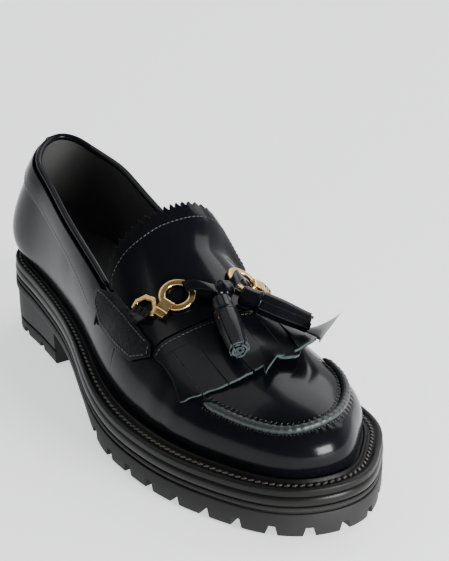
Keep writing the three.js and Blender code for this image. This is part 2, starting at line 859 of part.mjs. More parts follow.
// Tongue: its pinked back edge by cross share, its front edge is the seam
const TONGUE_BACK = [
  { cross: -0.552, column: 0.2345 },
  { cross: -0.525, column: 0.2275 },
  { cross: -0.480, column: 0.2235 },
  { cross: -0.420, column: 0.2220 },
  { cross: -0.280, column: 0.2228 },
  { cross: -0.150, column: 0.2235 },
  { cross: 0.000, column: 0.2240 },
  { cross: 0.150, column: 0.2230 },
  { cross: 0.300, column: 0.2230 },
  { cross: 0.420, column: 0.2270 },
  { cross: 0.552, column: 0.2440 },
];
const SEAM = [
  { cross: -0.600, column: 0.3030 },
  { cross: -0.560, column: 0.3000 },
  { cross: -0.500, column: 0.2978 },
  { cross: -0.400, column: 0.3000 },
  { cross: -0.280, column: 0.3030 },
  { cross: 0.000, column: 0.3055 },
  { cross: 0.280, column: 0.3030 },
  { cross: 0.400, column: 0.3000 },
  { cross: 0.500, column: 0.2978 },
  { cross: 0.560, column: 0.3000 },
  { cross: 0.600, column: 0.3030 },
];
const tongueBack = tableCurve(TONGUE_BACK, "cross", "column");
const seamAt = tableCurve(SEAM, "cross", "column");
const TONGUE_TEETH = 23;
const tongueEar = 0.048;

function makeTongue() {
  const cols = TONGUE_TEETH * 2;
  const point = (lift) => grid(5, cols, (s, w, i, j) => {
    const half = 1 - tongueUp - 0.006 + tongueEar * (1 - s) ** 3;
    const v = mix(-half, half, w);
    const back = tongueBack(v);
    const front = seamAt(v) - 0.0012;
    const tooth = i === 0 && j % 2 === 1 ? PINK_DEPTH / LAST_LENGTH / 2 : 0;
    const side = smooth(v, -0.1, 0.35) * (1 - 0.5 * smooth(v, 0.38, 0.62));
    const stand = TONGUE_FLARE * (1 - smooth(s, 0, 0.36)) * side;
    return skin(mix(back, front, s) - tooth, v, lift + stand);
  });
  return sheet(point(GAP), point(GAP + TONGUE_THICK));
}
add("tongue", makeTongue(), "polished");

// Kiltie: a root behind the strips, the strips cut free in front and lifted at their tips
// by a share of the instep height, with the tips tucked in to the middle
const STRIPS = [
  { from: -0.560, to: -0.455, end: 0.3540, lift: 0.003, tuck: -0.18 },
  { from: -0.455, to: -0.305, end: 0.3660, lift: 0.005, tuck: -0.18 },
  { from: -0.305, to: -0.150, end: 0.3800, lift: 0.013, tuck: -0.18 },
  { from: -0.150, to: 0.010, end: 0.3930, lift: 0.050, tuck: -0.10 },
  { from: 0.010, to: 0.160, end: 0.3990, lift: 0.062, tuck: 0 },
  { from: 0.160, to: 0.310, end: 0.3870, lift: 0.108, tuck: 0.02 },
  { from: 0.310, to: 0.465, end: 0.3720, lift: 0.205, tuck: 0.07 },
  { from: 0.465, to: 0.575, end: 0.3560, lift: 0.350, tuck: 0.14 },
];
const kiltieRoot = 0.012;

function makeKiltie() {
  const cols = [];
  STRIPS.forEach((p, k) => {
    const slit = 0.0055;
    const a = k === 0 ? p.from : p.from + slit;
    const b = k === STRIPS.length - 1 ? p.to : p.to - slit;
    cols.push({ v: a, strip: k }, { v: (a + b) / 2, strip: k }, { v: b, strip: k });
  });
  const rows = 9;
  const rootRows = 2;
  const point = (over) => grid(rows, cols.length - 1, (s, w, i, j) => {
    const { v, strip } = cols[j];
    const seam = seamAt(v);
    const p = STRIPS[strip];
    const f = i <= rootRows ? 0 : (i - rootRows) / (rows - rootRows);
    const root = mix(seam, seam + kiltieRoot, Math.min(i / rootRows, 1));
    const c = i <= rootRows ? root : mix(seam + kiltieRoot, p.end, f);
    return skin(c, v * (1 - p.tuck * f * f), over + p.lift * INSTEP_HEIGHT * f * f);
  });
  const keep = (i, j) => i < rootRows || cols[j].strip === cols[j + 1].strip;
  return sheet(point(GAP), point(GAP + KILTIE_THICK), keep);
}
add("kiltie", makeKiltie(), "polished");

// Apron ridge: folded seam round the forepart
const RIDGE_LINE = [
  { column: 0.3650, cross: -0.583 },
  { column: 0.3840, cross: -0.586 },
  { column: 0.4040, cross: -0.595 },
  { column: 0.4240, cross: -0.596 },
  { column: 0.4480, cross: -0.584 },
  { column: 0.4720, cross: -0.545 },
  { column: 0.4960, cross: -0.517 },
  { column: 0.5200, cross: -0.515 },
  { column: 0.5440, cross: -0.526 },
  { column: 0.5680, cross: -0.525 },
  { column: 0.5920, cross: -0.507 },
  { column: 0.6160, cross: -0.502 },
  { column: 0.6400, cross: -0.492 },
];

function makeRidge() {
  const pts = RIDGE_LINE.map((r) => new THREE.Vector2(r.column, 1 + r.cross));
  const line = new THREE.SplineCurve(pts);
  const count = 36;
  const sections = [];
  const section = [
    { across: -0.5, up: 0 },
    { across: -0.44, up: 0.6 },
    { across: -0.16, up: 1 },
    { across: 0.2, up: 0.94 },
    { across: 0.5, up: 0.5 },
    { across: 0.5, up: 0 },
  ];
  for (let k = 0; k <= count; k++) {
    const s = k / count;
    const q = line.getPoint(s);
    const n = lastNormal(q.x, q.y);
    const a = line.getPoint(Math.max(s - 0.01, 0));
    const b = line.getPoint(Math.min(s + 0.01, 1));
    const run = lastPoint(b.x, b.y).sub(lastPoint(a.x, a.y)).normalize();
    const side = n.clone().cross(run).normalize();
    sections.push(section.map((p) => {
      const w = lastPoint(q.x, q.y).addScaledVector(side, p.across * RIDGE_WIDTH);
      return w.addScaledVector(n, 2 * GAP + p.up * RIDGE_HEIGHT);
    }));
  }
  return sweep(sections);
}
add("moc_ridge", makeRidge(), "edge");

// Local frame on the last: x along the cross direction, y toward the toe, z out
function frameAt(c, v, lift) {
  const z = skinNormal(c, v);
  const across = skin(c, v + 0.01).sub(skin(c, v - 0.01)).normalize();
  const y = z.clone().cross(across).normalize();
  const x = y.clone().cross(z).normalize();
  const m = new THREE.Matrix4().makeBasis(x, y, z);
  m.setPosition(skin(c, v, lift));
  return m;
}

const metalLift = GAP + TONGUE_THICK + GAP;
const hardwareColumn = 0.2775;
const knotColumn = 0.2880;
const ringCross = 0.240;

function plate(shape, thick, segments = 8) {
  return new THREE.ExtrudeGeometry(shape, {
    depth: thick, bevelEnabled: false, curveSegments: segments, steps: 1,
  });
}

function makeRing() {
  const shape = new THREE.Shape();
  shape.absarc(0, 0, RING_RADIUS, 0, Math.PI * 2, false);
  const hole = new THREE.Path();
  hole.absarc(0, 0, RING_RADIUS - RING_WIDTH, 0, Math.PI * 2, true);
  shape.holes.push(hole);
  return plate(shape, RING_THICK, 14);
}

// Cross share that lies a distance farther from the crest, along column c
function crossFrom(c, v, distance) {
  const side = v < 0 ? -1 : 1;
  let w = v;
  let run = 0;
  let last = skin(c, w);
  while (run < distance) {
    w += side * 0.001;
    const p = skin(c, w);
    run += p.distanceTo(last);
    last = p;
  }
  return w;
}

function place(mesh, matrix) {
  matrix.decompose(mesh.position, mesh.quaternion, mesh.scale);
}

// A frame on the last whose y axis points away from the knot, leant back toward the heel
const DEE_LEAN = 17;
const lean = THREE.MathUtils.degToRad(DEE_LEAN);

function hardwareFrame(side, column, cross, lift) {
  const m = frameAt(column, side * cross, lift);
  const turn = side < 0 ? Math.PI / 2 + lean : -Math.PI / 2 - lean;
  return m.multiply(new THREE.Matrix4().makeRotationZ(turn));
}

// Column and cross share at a distance from the ring's centre, along the leant line
function alongStrap(side, distance) {
  const column = hardwareColumn - Math.sin(lean) * distance / COLUMN_RUN;
  const cross = Math.abs(crossFrom(column, side * ringCross, distance * Math.cos(lean)));
  return { column, cross };
}

const metalUp = metalLift + 0.5;
const postAt = RING_RADIUS + GAP + DEE_BAR / 2;
const deeMiddle = RING_RADIUS + GAP + DEE_BAR + DEE_LENGTH / 2;

// Dee: open frame with a bar for the leather, lying on the shoe beside the ring,
// and the clasp that reaches over the ring's edge
function makeDee(side) {
  const w = DEE_WIDTH / 2;
  const n = w * 0.42;
  const h = DEE_LENGTH / 2;
  const shape = new THREE.Shape([
    new THREE.Vector2(n, -h - DEE_BAR * 0.6),
    new THREE.Vector2(w, -h * 0.2),
    new THREE.Vector2(w, h),
    new THREE.Vector2(-w, h),
    new THREE.Vector2(-w, -h * 0.2),
    new THREE.Vector2(-n, -h - DEE_BAR * 0.6),
  ]);
  shape.holes.push(new THREE.Path([
    new THREE.Vector2(n * 0.7, -h + DEE_BAR * 0.7),
    new THREE.Vector2(-n * 0.7, -h + DEE_BAR * 0.7),
    new THREE.Vector2(-w + DEE_BAR, h * 0.1),
    new THREE.Vector2(-w + DEE_BAR, h - DEE_BAR * 0.8),
    new THREE.Vector2(w - DEE_BAR, h - DEE_BAR * 0.8),
    new THREE.Vector2(w - DEE_BAR, h * 0.1),
  ]));
  const frame = plate(shape, DEE_BAR * 0.8);
  const at = alongStrap(side, deeMiddle);
  frame.applyMatrix4(hardwareFrame(side, at.column, at.cross, metalUp));
  const top = RING_THICK + GAP;
  const ringFrame = hardwareFrame(side, hardwareColumn, ringCross, metalUp);
  const deeFrame = hardwareFrame(side, at.column, at.cross, metalUp);
  // the post grows out of the frame's near bar and ends in the clasp
  const corners = (half, near, far, z, place) => [[-half, near], [half, near], [half, far], [-half, far]]
    .map(([x, y]) => new THREE.Vector3(x, y, z).applyMatrix4(place));
  const post = stack([
    corners(n * 0.8, -h - DEE_BAR * 0.1, -h + DEE_BAR * 0.6, DEE_BAR * 0.1, deeFrame),
    corners(CLASP_WIDTH / 2, postAt - DEE_BAR * 0.3, postAt + DEE_BAR * 1.3, top + CLASP_THICK, ringFrame),
  ]);
  const reach = RING_WIDTH + GAP + DEE_BAR;
  const clasp = new THREE.BoxGeometry(CLASP_WIDTH, reach, CLASP_THICK);
  clasp.translate(0, postAt + DEE_BAR / 2 - reach / 2, top + CLASP_THICK / 2);
  return joined([frame, post, clasp.applyMatrix4(ringFrame)]);
}

// Leather tab: from over the saddle's edge up and round the dee's bar
function makeTab(side) {
  const half = DEE_WIDTH / 2 - DEE_BAR - GAP;
  const bar = DEE_LENGTH / 2;
  const tail = bar + TAB_LENGTH;
  const middle = alongStrap(side, deeMiddle);
  const plane = hardwareFrame(side, middle.column, middle.cross, metalUp + DEE_BAR * 0.8 + GAP);
  const point = (over) => grid(7, 4, (s, w) => {
    const run = mix(tail, bar - DEE_BAR, s);
    const x = mix(half, -half, w);
    const at = alongStrap(side, deeMiddle + run);
    const low = skin(at.column + side * x / COLUMN_RUN, side * at.cross, metalLift + over);
    const high = new THREE.Vector3(x, run, over).applyMatrix4(plane);
    return high.lerp(low, smooth(run, bar + 2, bar + 4.4));
  });
  return sheet(point(0), point(STRAP_THICK));
}

for (const [name, side] of [["lateral", -1], ["medial", 1]]) {
  const spot = hardwareFrame(side, hardwareColumn, ringCross, metalUp);
  place(add(`ring_${name}`, makeRing(), "gold"), spot);
  add(`dee_${name}`, makeDee(side), "gold");
  add(`tab_${name}`, makeTab(side), "grained");
}

// Knot on the crest between the rings, and its two loops over the rings
const knotLow = metalLift;

function makeKnot() {
  const m = frameAt(knotColumn, 0, knotLow);
  const sections = [];
  const slices = [
    { along: -0.5, size: 0.78 },
    { along: -0.3, size: 1 },
    { along: 0.3, size: 1 },
    { along: 0.5, size: 0.78 },
  ];
  for (const p of slices) {
    const ring = [];
    for (let j = 0; j < 10; j++) {
      const w = Math.PI * 2 * (j + 0.5) / 10;
      const y = Math.cos(w) * KNOT_LENGTH / 2 * p.size;
      const z = (1 + Math.sin(w) * p.size) * KNOT_HEIGHT / 2 + KNOT_HEIGHT * 0.12;
      ring.push(new THREE.Vector3(p.along * KNOT_WIDTH, y, z).applyMatrix4(m));
    }
    sections.push(ring);
  }
  const parts = [sweep(sections)];
  const loopLow = metalUp + RING_THICK + 1.4;
  const loopFar = Math.abs(crossFrom(hardwareColumn, 0.001, KNOT_WIDTH / 2)) + 0.1;
  for (const side of [-1, 1]) {
    const half = STRAP_WIDTH / 2 / COLUMN_RUN;
    const from = 0.03;
    const point = (over) => grid(4, 2, (s, w) => {
      const v = mix(from, loopFar, s);
      const c = mix(knotColumn, hardwareColumn, smooth(s, 0, 1));
      return skin(c + mix(-half, half, w), side * v, loopLow - 0.6 * (1 - s) + over);
    });
    parts.push(sheet(point(0), point(STRAP_THICK)));
  }
  return joined(parts);
}
add("bow_knot", makeKnot(), "polished");

// Tassel: wrapped cap with a rim, then leather strips fused to a core
const TASSELS = [
  { name: "tassel_1", from: { cross: -0.062, lift: 0.107 },
    to: { column: 0.3590, cross: -0.187, lift: 0.142 } },
  { name: "tassel_2", from: { cross: 0.066, lift: 0.129 },
    to: { column: 0.3300, cross: 0.430, lift: 0.184 } },
];

function makeTassel(t) {
  const column = knotColumn + (KNOT_LENGTH / 2 + GAP) / COLUMN_RUN;
  const a = skin(column, t.from.cross, t.from.lift * INSTEP_HEIGHT);
  const b = skin(t.to.column, t.to.cross, t.to.lift * INSTEP_HEIGHT);
  const length = a.distanceTo(b);
  const r = TASSEL_RADIUS;
  const profile = [
    [0, 0], [r * 0.6, 0], [r * 0.82, 1.4], [r * 0.86, TASSEL_CAP - 1.6], [r * 0.95, TASSEL_CAP - 1.4],
    [r * 0.95, TASSEL_CAP], [r * 0.7, TASSEL_CAP], [r * 0.7, length - 1.5], [0, length - 1.5],
  ];
  const cap = new THREE.LatheGeometry(profile.map(([x, y]) => new THREE.Vector2(x, y)), 10);
  const pts = [];
  const slit = STRIP_THICK * 0.5 / r;
  const step = Math.PI * 2 / STRIP_COUNT;
  for (let k = 0; k < STRIP_COUNT; k++) {
    const w = k * step;
    for (const q of [w + slit / 2, w + step - slit / 2]) {
      pts.push(new THREE.Vector2(Math.cos(q) * r, Math.sin(q) * r));
    }
    const q = w + step;
    pts.push(new THREE.Vector2(Math.cos(q) * (r - STRIP_THICK), Math.sin(q) * (r - STRIP_THICK)));
  }
  const strips = plate(new THREE.Shape(pts), length - TASSEL_CAP + 0.4);
  // extruded along z, turned to run along the lathe's axis
  strips.rotateX(-Math.PI / 2);
  strips.translate(0, TASSEL_CAP - 0.4, 0);
  const body = joined([cap, strips]);
  const turn = new THREE.Quaternion().setFromUnitVectors(
    new THREE.Vector3(0, 1, 0), b.clone().sub(a).normalize());
  const m = new THREE.Matrix4().makeRotationFromQuaternion(turn);
  m.setPosition(a);
  return { body, m };
}

for (const t of TASSELS) {
  const { body, m } = makeTassel(t);
  place(add(t.name, body, "polished"), m);
}

// Centre and size for whoever places the part: bottom middle at the origin
const box = new THREE.Box3().setFromObject(shoe);
const middle = box.getCenter(new THREE.Vector3());
shoe.position.set(-middle.x, -middle.y, -box.min.z);

export default shoe;
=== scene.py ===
# %% [markdown]
# # A black fringed tassel loafer
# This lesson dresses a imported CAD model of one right-foot loafer in Blender. The real shoe is
# polished black leather over a wooden last, with a fringe, two tassels, gold rings and a thick
# rubber sole. Everything is measured in millimetres here and turned into metres at the end.

# %% Load the frame
import math
import bpy
import bmesh
import numpy as np
from mathutils import Matrix, Vector


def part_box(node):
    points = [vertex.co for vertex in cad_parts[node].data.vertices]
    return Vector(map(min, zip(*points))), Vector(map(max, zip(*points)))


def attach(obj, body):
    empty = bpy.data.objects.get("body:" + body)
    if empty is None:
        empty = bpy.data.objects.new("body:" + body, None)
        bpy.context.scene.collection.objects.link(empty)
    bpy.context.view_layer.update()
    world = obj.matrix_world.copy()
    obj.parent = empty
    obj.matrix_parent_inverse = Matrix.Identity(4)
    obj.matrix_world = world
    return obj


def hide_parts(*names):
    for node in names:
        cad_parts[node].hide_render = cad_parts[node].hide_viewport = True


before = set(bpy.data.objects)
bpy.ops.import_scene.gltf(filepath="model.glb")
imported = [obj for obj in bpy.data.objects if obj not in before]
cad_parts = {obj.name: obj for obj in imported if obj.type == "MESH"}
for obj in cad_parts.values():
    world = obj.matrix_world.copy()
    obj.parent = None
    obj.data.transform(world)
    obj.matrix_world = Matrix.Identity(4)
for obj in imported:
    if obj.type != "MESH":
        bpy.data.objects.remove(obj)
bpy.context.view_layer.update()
MM = 0.001

# %% [markdown]
# ## Camera
# The photograph looks down on the shoe's outer side from in front, with a long lens. The camera
# comes first, because every later choice of detail depends on how large a piece is in the view.

# %% Camera
AZIMUTH, ELEVATION, ROLL = (math.radians(a) for a in (54.73, 25.02, 0.53))
TARGET = Vector((-22.74, 47.96, 46.2)) * MM
DISTANCE = 849.3 * MM
FOCAL_SHARE = 2.966


def aim_camera():
    back = Vector((math.sin(AZIMUTH) * math.cos(ELEVATION), -math.cos(AZIMUTH) * math.cos(ELEVATION),
                   math.sin(ELEVATION)))
    right = Vector((0, 0, 1)).cross(back).normalized()
    up = back.cross(right)
    rolled_right = math.cos(ROLL) * right + math.sin(ROLL) * up
    rolled_up = math.cos(ROLL) * up - math.sin(ROLL) * right
    camera = bpy.data.objects.new("camera", bpy.data.cameras.new("camera"))
    camera.data.sensor_width = 36
    camera.data.lens = FOCAL_SHARE * camera.data.sensor_width
    turn = Matrix((rolled_right, rolled_up, back)).transposed().to_4x4()
    camera.matrix_world = Matrix.Translation(TARGET + back * DISTANCE) @ turn
    bpy.context.scene.collection.objects.link(camera)
    bpy.context.scene.camera = camera
    return camera


camera = aim_camera()
print("camera at", [round(c, 3) for c in camera.location])

# %% [markdown]
# ## Curves through short tables
# A shoemaker's last is described by a few sections. A natural cubic through each column of a
# short table gives the smooth curve between them, and it is worked out here with numpy, so that
# a whole grid of points can be asked for at once.

# %% Tables and curves
def table(columns, rows):
    return dict(zip(columns.split(), np.array(rows, float).T))


class Curve:
    """Natural cubic through the rows of a table, straight on outside them."""

    def __init__(self, xs, ys):
        self.xs, self.ys, self.h = np.array(xs), np.array(ys), np.diff(xs)
        n = len(xs)
        system, load = np.eye(n), np.zeros(n)
        for i in range(1, n - 1):
            a, b = self.h[i - 1], self.h[i]
            system[i, i - 1:i + 2] = a, 2 * (a + b), b
            load[i] = 6 * ((ys[i + 1] - ys[i]) / b - (ys[i] - ys[i - 1]) / a)
        self.bend = np.linalg.solve(system, load)

    def inside(self, q):
        i = np.clip(np.searchsorted(self.xs, q) - 1, 0, len(self.h) - 1)
        a = (self.xs[i + 1] - q) / self.h[i]
        b = 1 - a
        curved = (a**3 - a) * self.bend[i] + (b**3 - b) * self.bend[i + 1]
        return a * self.ys[i] + b * self.ys[i + 1] + curved * self.h[i]**2 / 6

    def __call__(self, q):
        q = np.asarray(q, float)
        low, high, e = self.xs[0], self.xs[-1], 1e-4
        low_slope = (self.inside(low + e) - self.inside(low)) / e
        high_slope = (self.inside(high) - self.inside(high - e)) / e
        inner = self.inside(np.clip(q, low, high))
        return inner + np.minimum(q - low, 0) * low_slope + np.maximum(q - high, 0) * high_slope


def run_along(points):
    """Distance from the first point of a line to each of its points."""
    return np.concatenate([[0], np.cumsum(np.linalg.norm(np.diff(points, axis=0), axis=1))])


def mix(a, b, s):
    return a + (b - a) * s


def smooth(x, low, high):
    s = np.clip((x - low) / (high - low), 0, 1)
    return s * s * (3 - 2 * s)


print("a cubic between 0 and 1:", Curve([0, 1, 2], [0, 1, 0])(0.5))

# %% [markdown]
# ## The last
# The same sizes and tables as in the CAD source. Round the foot runs the girth table: heel back,
# outer side, toe, inner side. Above it lies the crest, and between the two a Bezier curve swells
# over the feather line and closes at the crest.

# %% Sizes of last, leather and sole
LAST_LENGTH, BALL_WIDTH, INSTEP_HEIGHT, BACK_HEIGHT, MEDIAL_RISE = 256, 86, 63.6, 49.5, 4
HEEL_STACK, BALL_STACK = 43.5, 22.8
COLUMN_RUN = LAST_LENGTH * 2.05
WALL, GAP = 2.0, 0.3
GIRTH = table("along across rise bulge reach", [
    (0.000, 0.110, 0.25, 0.356, 0.16),
    (0.033, -0.170, 0.15, 0.352, -0.12),
    (0.120, -0.235, 0.28, 0.150, 0.06),
    (0.250, -0.285, 0.36, 0.093, 0.40),
    (0.380, -0.365, 0.40, 0.093, 0.46),
    (0.520, -0.475, 0.50, 0.081, 0.52),
    (0.650, -0.511, 0.62, 0.058, 0.56),
    (0.770, -0.488, 0.70, 0.047, 0.60),
    (0.875, -0.393, 0.74, 0.041, 0.62),
    (0.975, -0.225, 0.76, 0.035, 0.64),
    (1.004, 0.050, 0.76, 0.035, 0.64),
    (0.958, 0.260, 0.76, 0.035, 0.64),
    (0.890, 0.425, 0.74, 0.041, 0.62),
    (0.790, 0.475, 0.70, 0.047, 0.60),
    (0.680, 0.470, 0.64, 0.058, 0.58),
    (0.550, 0.400, 0.56, 0.093, 0.58),
    (0.420, 0.325, 0.40, 0.081, 0.47),
    (0.290, 0.325, 0.29, 0.035, 0.34),
    (0.150, 0.385, 0.27, 0.000, 0.12),
    (0.040, 0.320, 0.32, 0.075, 0.10),
])
CREST = table("along height across", [
    (0.14, 1.775, 0.160),
    (0.28, 1.615, 0.100),
    (0.40, 1.267, 0.070),
    (0.50, 1.000, 0.068),
    (0.60, 0.811, 0.058),
    (0.70, 0.638, 0.040),
    (0.78, 0.531, 0.032),
    (0.84, 0.480, 0.030),
    (0.90, 0.440, 0.030),
])
FEATHER = table("along lift", [
    (0.00, 1.000),
    (0.12, 0.800),
    (0.25, 0.640),
    (0.38, 0.455),
    (0.50, 0.215),
    (0.60, 0.035),
    (0.70, 0.000),
    (0.80, 0.015),
    (0.90, 0.040),
    (1.00, 0.115),
])
TOPLINE = table("along height", [
    (-0.10, 1.190),
    (0.000, 1.150),
    (0.060, 1.060),
    (0.176, 0.970),
    (0.352, 0.826),
    (0.500, 0.725),
    (0.540, 0.730),
    (0.565, 1.150),
    (0.590, 2.600),
])
BACK_POLE, TOE_POLE, POLE_SOFT = 0.16, 0.82, 0.04


def round_curve(column):
    """A closed table's curve: its rows repeat past both ends."""
    n, wrap = len(column), 8
    k = np.arange(-wrap, n + wrap + 1)
    curve = Curve(k / n, column[k % n])
    return lambda u: curve(np.mod(u, 1))


along, across, rise_of, bulge_of, reach_of = (round_curve(GIRTH[c]) for c in
                                              ("along", "across", "rise", "bulge", "reach"))
crest_height = Curve(CREST["along"], CREST["height"])
crest_across = Curve(CREST["along"], CREST["across"])
feather_lift = Curve(FEATHER["along"], FEATHER["lift"])


def foot_height(x):
    return BALL_STACK + (HEEL_STACK - BALL_STACK) * feather_lift(x / LAST_LENGTH)


def crest(a):
    return foot_height(a * LAST_LENGTH) + INSTEP_HEIGHT * crest_height(a)


def foot(u, out=0):
    """Outline of the last at share u round it, moved out in plan."""
    e = 1e-3
    x, y = along(u) * LAST_LENGTH, across(u) * BALL_WIDTH
    dx = (along(u + e) - along(u - e)) * LAST_LENGTH
    dy = (across(u + e) - across(u - e)) * BALL_WIDTH
    n = np.hypot(dx, dy)
    return x + dy / n * out, y - dx / n * out


def station(u):
    a = (along(u) + along(1 - u)) / 2
    low = BACK_POLE + POLE_SOFT * np.log1p(np.exp((a - BACK_POLE) / POLE_SOFT))
    return TOE_POLE - POLE_SOFT * np.log1p(np.exp((TOE_POLE - low) / POLE_SOFT))


# %% The surface and its normal
def last_point(u, t):
    """Point at share u round the last and t up from the feather line to the crest."""
    u, t = np.broadcast_arrays(u, t)
    fx, fy = foot(u)
    fz = foot_height(fx)
    a = station(u)
    tx, ty, tz = a * LAST_LENGTH, crest_across(a) * BALL_WIDTH, crest(a)
    slope = (crest(a + 1e-3) - crest(a - 1e-3)) / (2e-3 * LAST_LENGTH)
    d = np.hypot(fx - tx, fy - ty)
    ux, uy = (fx - tx) / d, (fy - ty) / d
    bulge, reach = bulge_of(u) * BALL_WIDTH, reach_of(u) * d
    corners = (
        (fx, fy, fz),
        (fx + ux * bulge, fy + uy * bulge, fz + rise_of(u) * (tz - fz)),
        (tx + ux * reach, ty + uy * reach, tz + slope * ux * reach),
        (tx, ty, tz),
    )
    weights = (1 - t)**3, 3 * (1 - t)**2 * t, 3 * (1 - t) * t * t, t**3
    return np.stack([sum(w * c[axis] for w, c in zip(weights, corners)) for axis in range(3)], -1)


def unit(v):
    return v / np.maximum(np.linalg.norm(v, axis=-1, keepdims=True), 1e-9)


def last_normal(u, t):
    u, t = np.broadcast_arrays(np.asarray(u, float), np.asarray(t, float))
    e = 1e-3
    du = last_point(u + e, t) - last_point(u - e, t)
    dt = last_point(u, t + e) - last_point(u, np.maximum(t - e, 0))
    a = station(u)
    slope = (crest(a + e) - crest(a - e)) / (2 * e * LAST_LENGTH)
    top = np.stack([-slope, np.zeros_like(slope), np.ones_like(slope)], -1)
    return unit(np.where((t > 0.995)[..., None], top, np.cross(du, dt)))


def on_last(u, t, lift=0):
    lift = np.asarray(lift, float)
    return last_point(u, t) + last_normal(u, t) * lift[..., None]


def sides(c, v):
    """Column (0 heel to 0.5 toe) and cross share (-1 outer to 1 inner) as u and t."""
    c, v = np.broadcast_arrays(np.asarray(c, float), np.asarray(v, float))
    return np.where(v < 0, c, 1 - c), 1 - np.abs(v)


def skin(c, v, lift=0):
    return on_last(*sides(c, v), lift)


def skin_normal(c, v):
    return last_normal(*sides(c, v))


print("crest over the instep", last_point(0.29, 1.0).round(1))

# %% [markdown]
# ## The opening edge
# The top line falls from the heel to the throat. For each column the first height where the
# last passes that line is found by a grid search and a few halvings.

# %% Opening edge
def opening(u, drop=0):
    u = np.asarray(u, float)
    drop = np.broadcast_to(np.asarray(drop, float), u.shape)
    inner_side = np.mod(u, 1) > 0.5
    rise = np.where(inner_side, MEDIAL_RISE * smooth(along(u), 0.02, 0.2), 0)

    def over(t):
        p = last_point(u if t.ndim == u.ndim else u[..., None], t)
        line = foot_height(p[..., 0]) + BACK_HEIGHT * np.interp(
            p[..., 0] / LAST_LENGTH, TOPLINE["along"], TOPLINE["height"])
        extra = rise - drop
        return p[..., 2] > line + (extra if t.ndim == u.ndim else extra[..., None])

    steps = 60
    t = np.broadcast_to(np.arange(1, steps + 1) / steps, u.shape + (steps,))
    hit = over(t)
    first = np.argmax(hit, axis=-1)
    low, high = first / steps, (first + 1) / steps
    for _ in range(20):
        middle = (low + high) / 2
        up = over(middle)
        low, high = np.where(up, low, middle), np.where(up, middle, high)
    return np.where(hit.any(-1), high, 1.0)


print("opening at the heel back", opening(np.array([0.0])).round(3))

# %% [markdown]
# ## Where the model stands
# The CAD model was centred on its own box. The outsole's widest edge is the same ring of points
# here and there, so its lowest corner tells how far everything was moved.

# %% Shift to the CAD frame
WAIST_SHARE, OUTSOLE_EDGE, SOLE_STATIONS = 0.52, 10.4, 64


def edge_share(x):
    return mix(WAIST_SHARE, 1, smooth(x / LAST_LENGTH, 0.22, 0.66))


def sole_outline(u, edge, inward=0):
    return foot(u, edge * edge_share(foot(u)[0]) - inward)


ring_x, ring_y = sole_outline(np.arange(SOLE_STATIONS) / SOLE_STATIONS, OUTSOLE_EDGE)
outsole_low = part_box("outsole")[0] / MM
SHIFT = np.array([outsole_low.x - ring_x.min(), outsole_low.y - ring_y.min(), 0])
print("shift", SHIFT.round(2))

# %% [markdown]
# ## Mesh helpers
# Most pieces are grids of points: a sheet of leather has a lower and an upper grid and a rim
# between them, and a bead is a ring of points swept along a line. A small bevel on sharp edges
# catches light as a cut leather edge does.

# %% Mesh helpers
def piece(name, points, faces, finishes, slot, replaces=(), finish_of=None, bevel=0.0, attributes=()):
    mesh = bpy.data.meshes.new(name)
    mesh.from_pydata(((np.asarray(points).reshape(-1, 3) + SHIFT) * MM).tolist(), [], faces)
    obj = bpy.data.objects.new(name, mesh)
    bpy.context.scene.collection.objects.link(obj)
    for finish in finishes:
        mesh.materials.append(finish)
    if finish_of is not None:
        mesh.polygons.foreach_set("material_index", np.asarray(finish_of, np.int32))
    for key, values in dict(attributes).items():
        layer = mesh.attributes.new(key, "FLOAT", "POINT")
        layer.data.foreach_set("value", np.asarray(values, np.float32).ravel())
    work = bmesh.new()
    work.from_mesh(mesh)
    bmesh.ops.remove_doubles(work, verts=work.verts, dist=0.002 * MM)
    bmesh.ops.recalc_face_normals(work, faces=work.faces)
    work.to_mesh(mesh)
    work.free()
    mesh.shade_smooth()
    mesh.set_sharp_from_angle(angle=math.radians(50))
    if bevel:
        soften(obj, bevel)
    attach(obj, "root")
    if replaces:
        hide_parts(*replaces)
    return obj


def soften(obj, width, segments=2, angle=50):
    bevel = obj.modifiers.new("edge", "BEVEL")
    bevel.width = width * MM
    bevel.segments = segments
    bevel.limit_method = "ANGLE"
    bevel.angle_limit = math.radians(angle)
    bevel.harden_normals = True


def quads(rows, cols, start=0, wrap=False):
    """Faces of a grid of points, rows by cols, numbered row by row."""
    faces = []
    for i in range(rows - 1):
        for j in range(cols if wrap else cols - 1):
            q = (j + 1) % cols
            faces.append((start + i * cols + j, start + i * cols + q,
                          start + (i + 1) * cols + q, start + (i + 1) * cols + j))
    return faces


def sheet_faces(rows, cols, start=0):
    """Closed sheet: lower grid first, then the upper one, and the rim between them."""
    n = rows * cols
    faces = [f[::-1] for f in quads(rows, cols, start)] + quads(rows, cols, start + n)
    top_count = len(faces)
    rim = [(0, j) for j in range(cols)] + [(i, cols - 1) for i in range(1, rows)]
    rim += [(rows - 1, j) for j in range(cols - 2, -1, -1)] + [(i, 0) for i in range(rows - 2, 0, -1)]
    at = [start + i * cols + j for i, j in rim]
    for k in range(len(at)):
        q = (k + 1) % len(at)
        faces.append((at[k], at[q], at[q] + n, at[k] + n))
    kinds = [0] * top_count + [1] * (len(faces) - top_count)
    return faces, kinds


def sheets(name, grids, finishes, slot, bevel=0.35, **more):
    """One piece from several sheets, each a pair of grids. The rims take the second finish."""
    points, faces, kinds = [], [], []
    for low, high in grids:
        rows, cols = low.shape[:2]
        f, k = sheet_faces(rows, cols, len(points))
        points += [*low.reshape(-1, 3), *high.reshape(-1, 3)]
        faces += f
        kinds += k
    if len(finishes) == 1:
        kinds = None
    return piece(name, points, faces, finishes, slot, finish_of=kinds, bevel=bevel, **more)


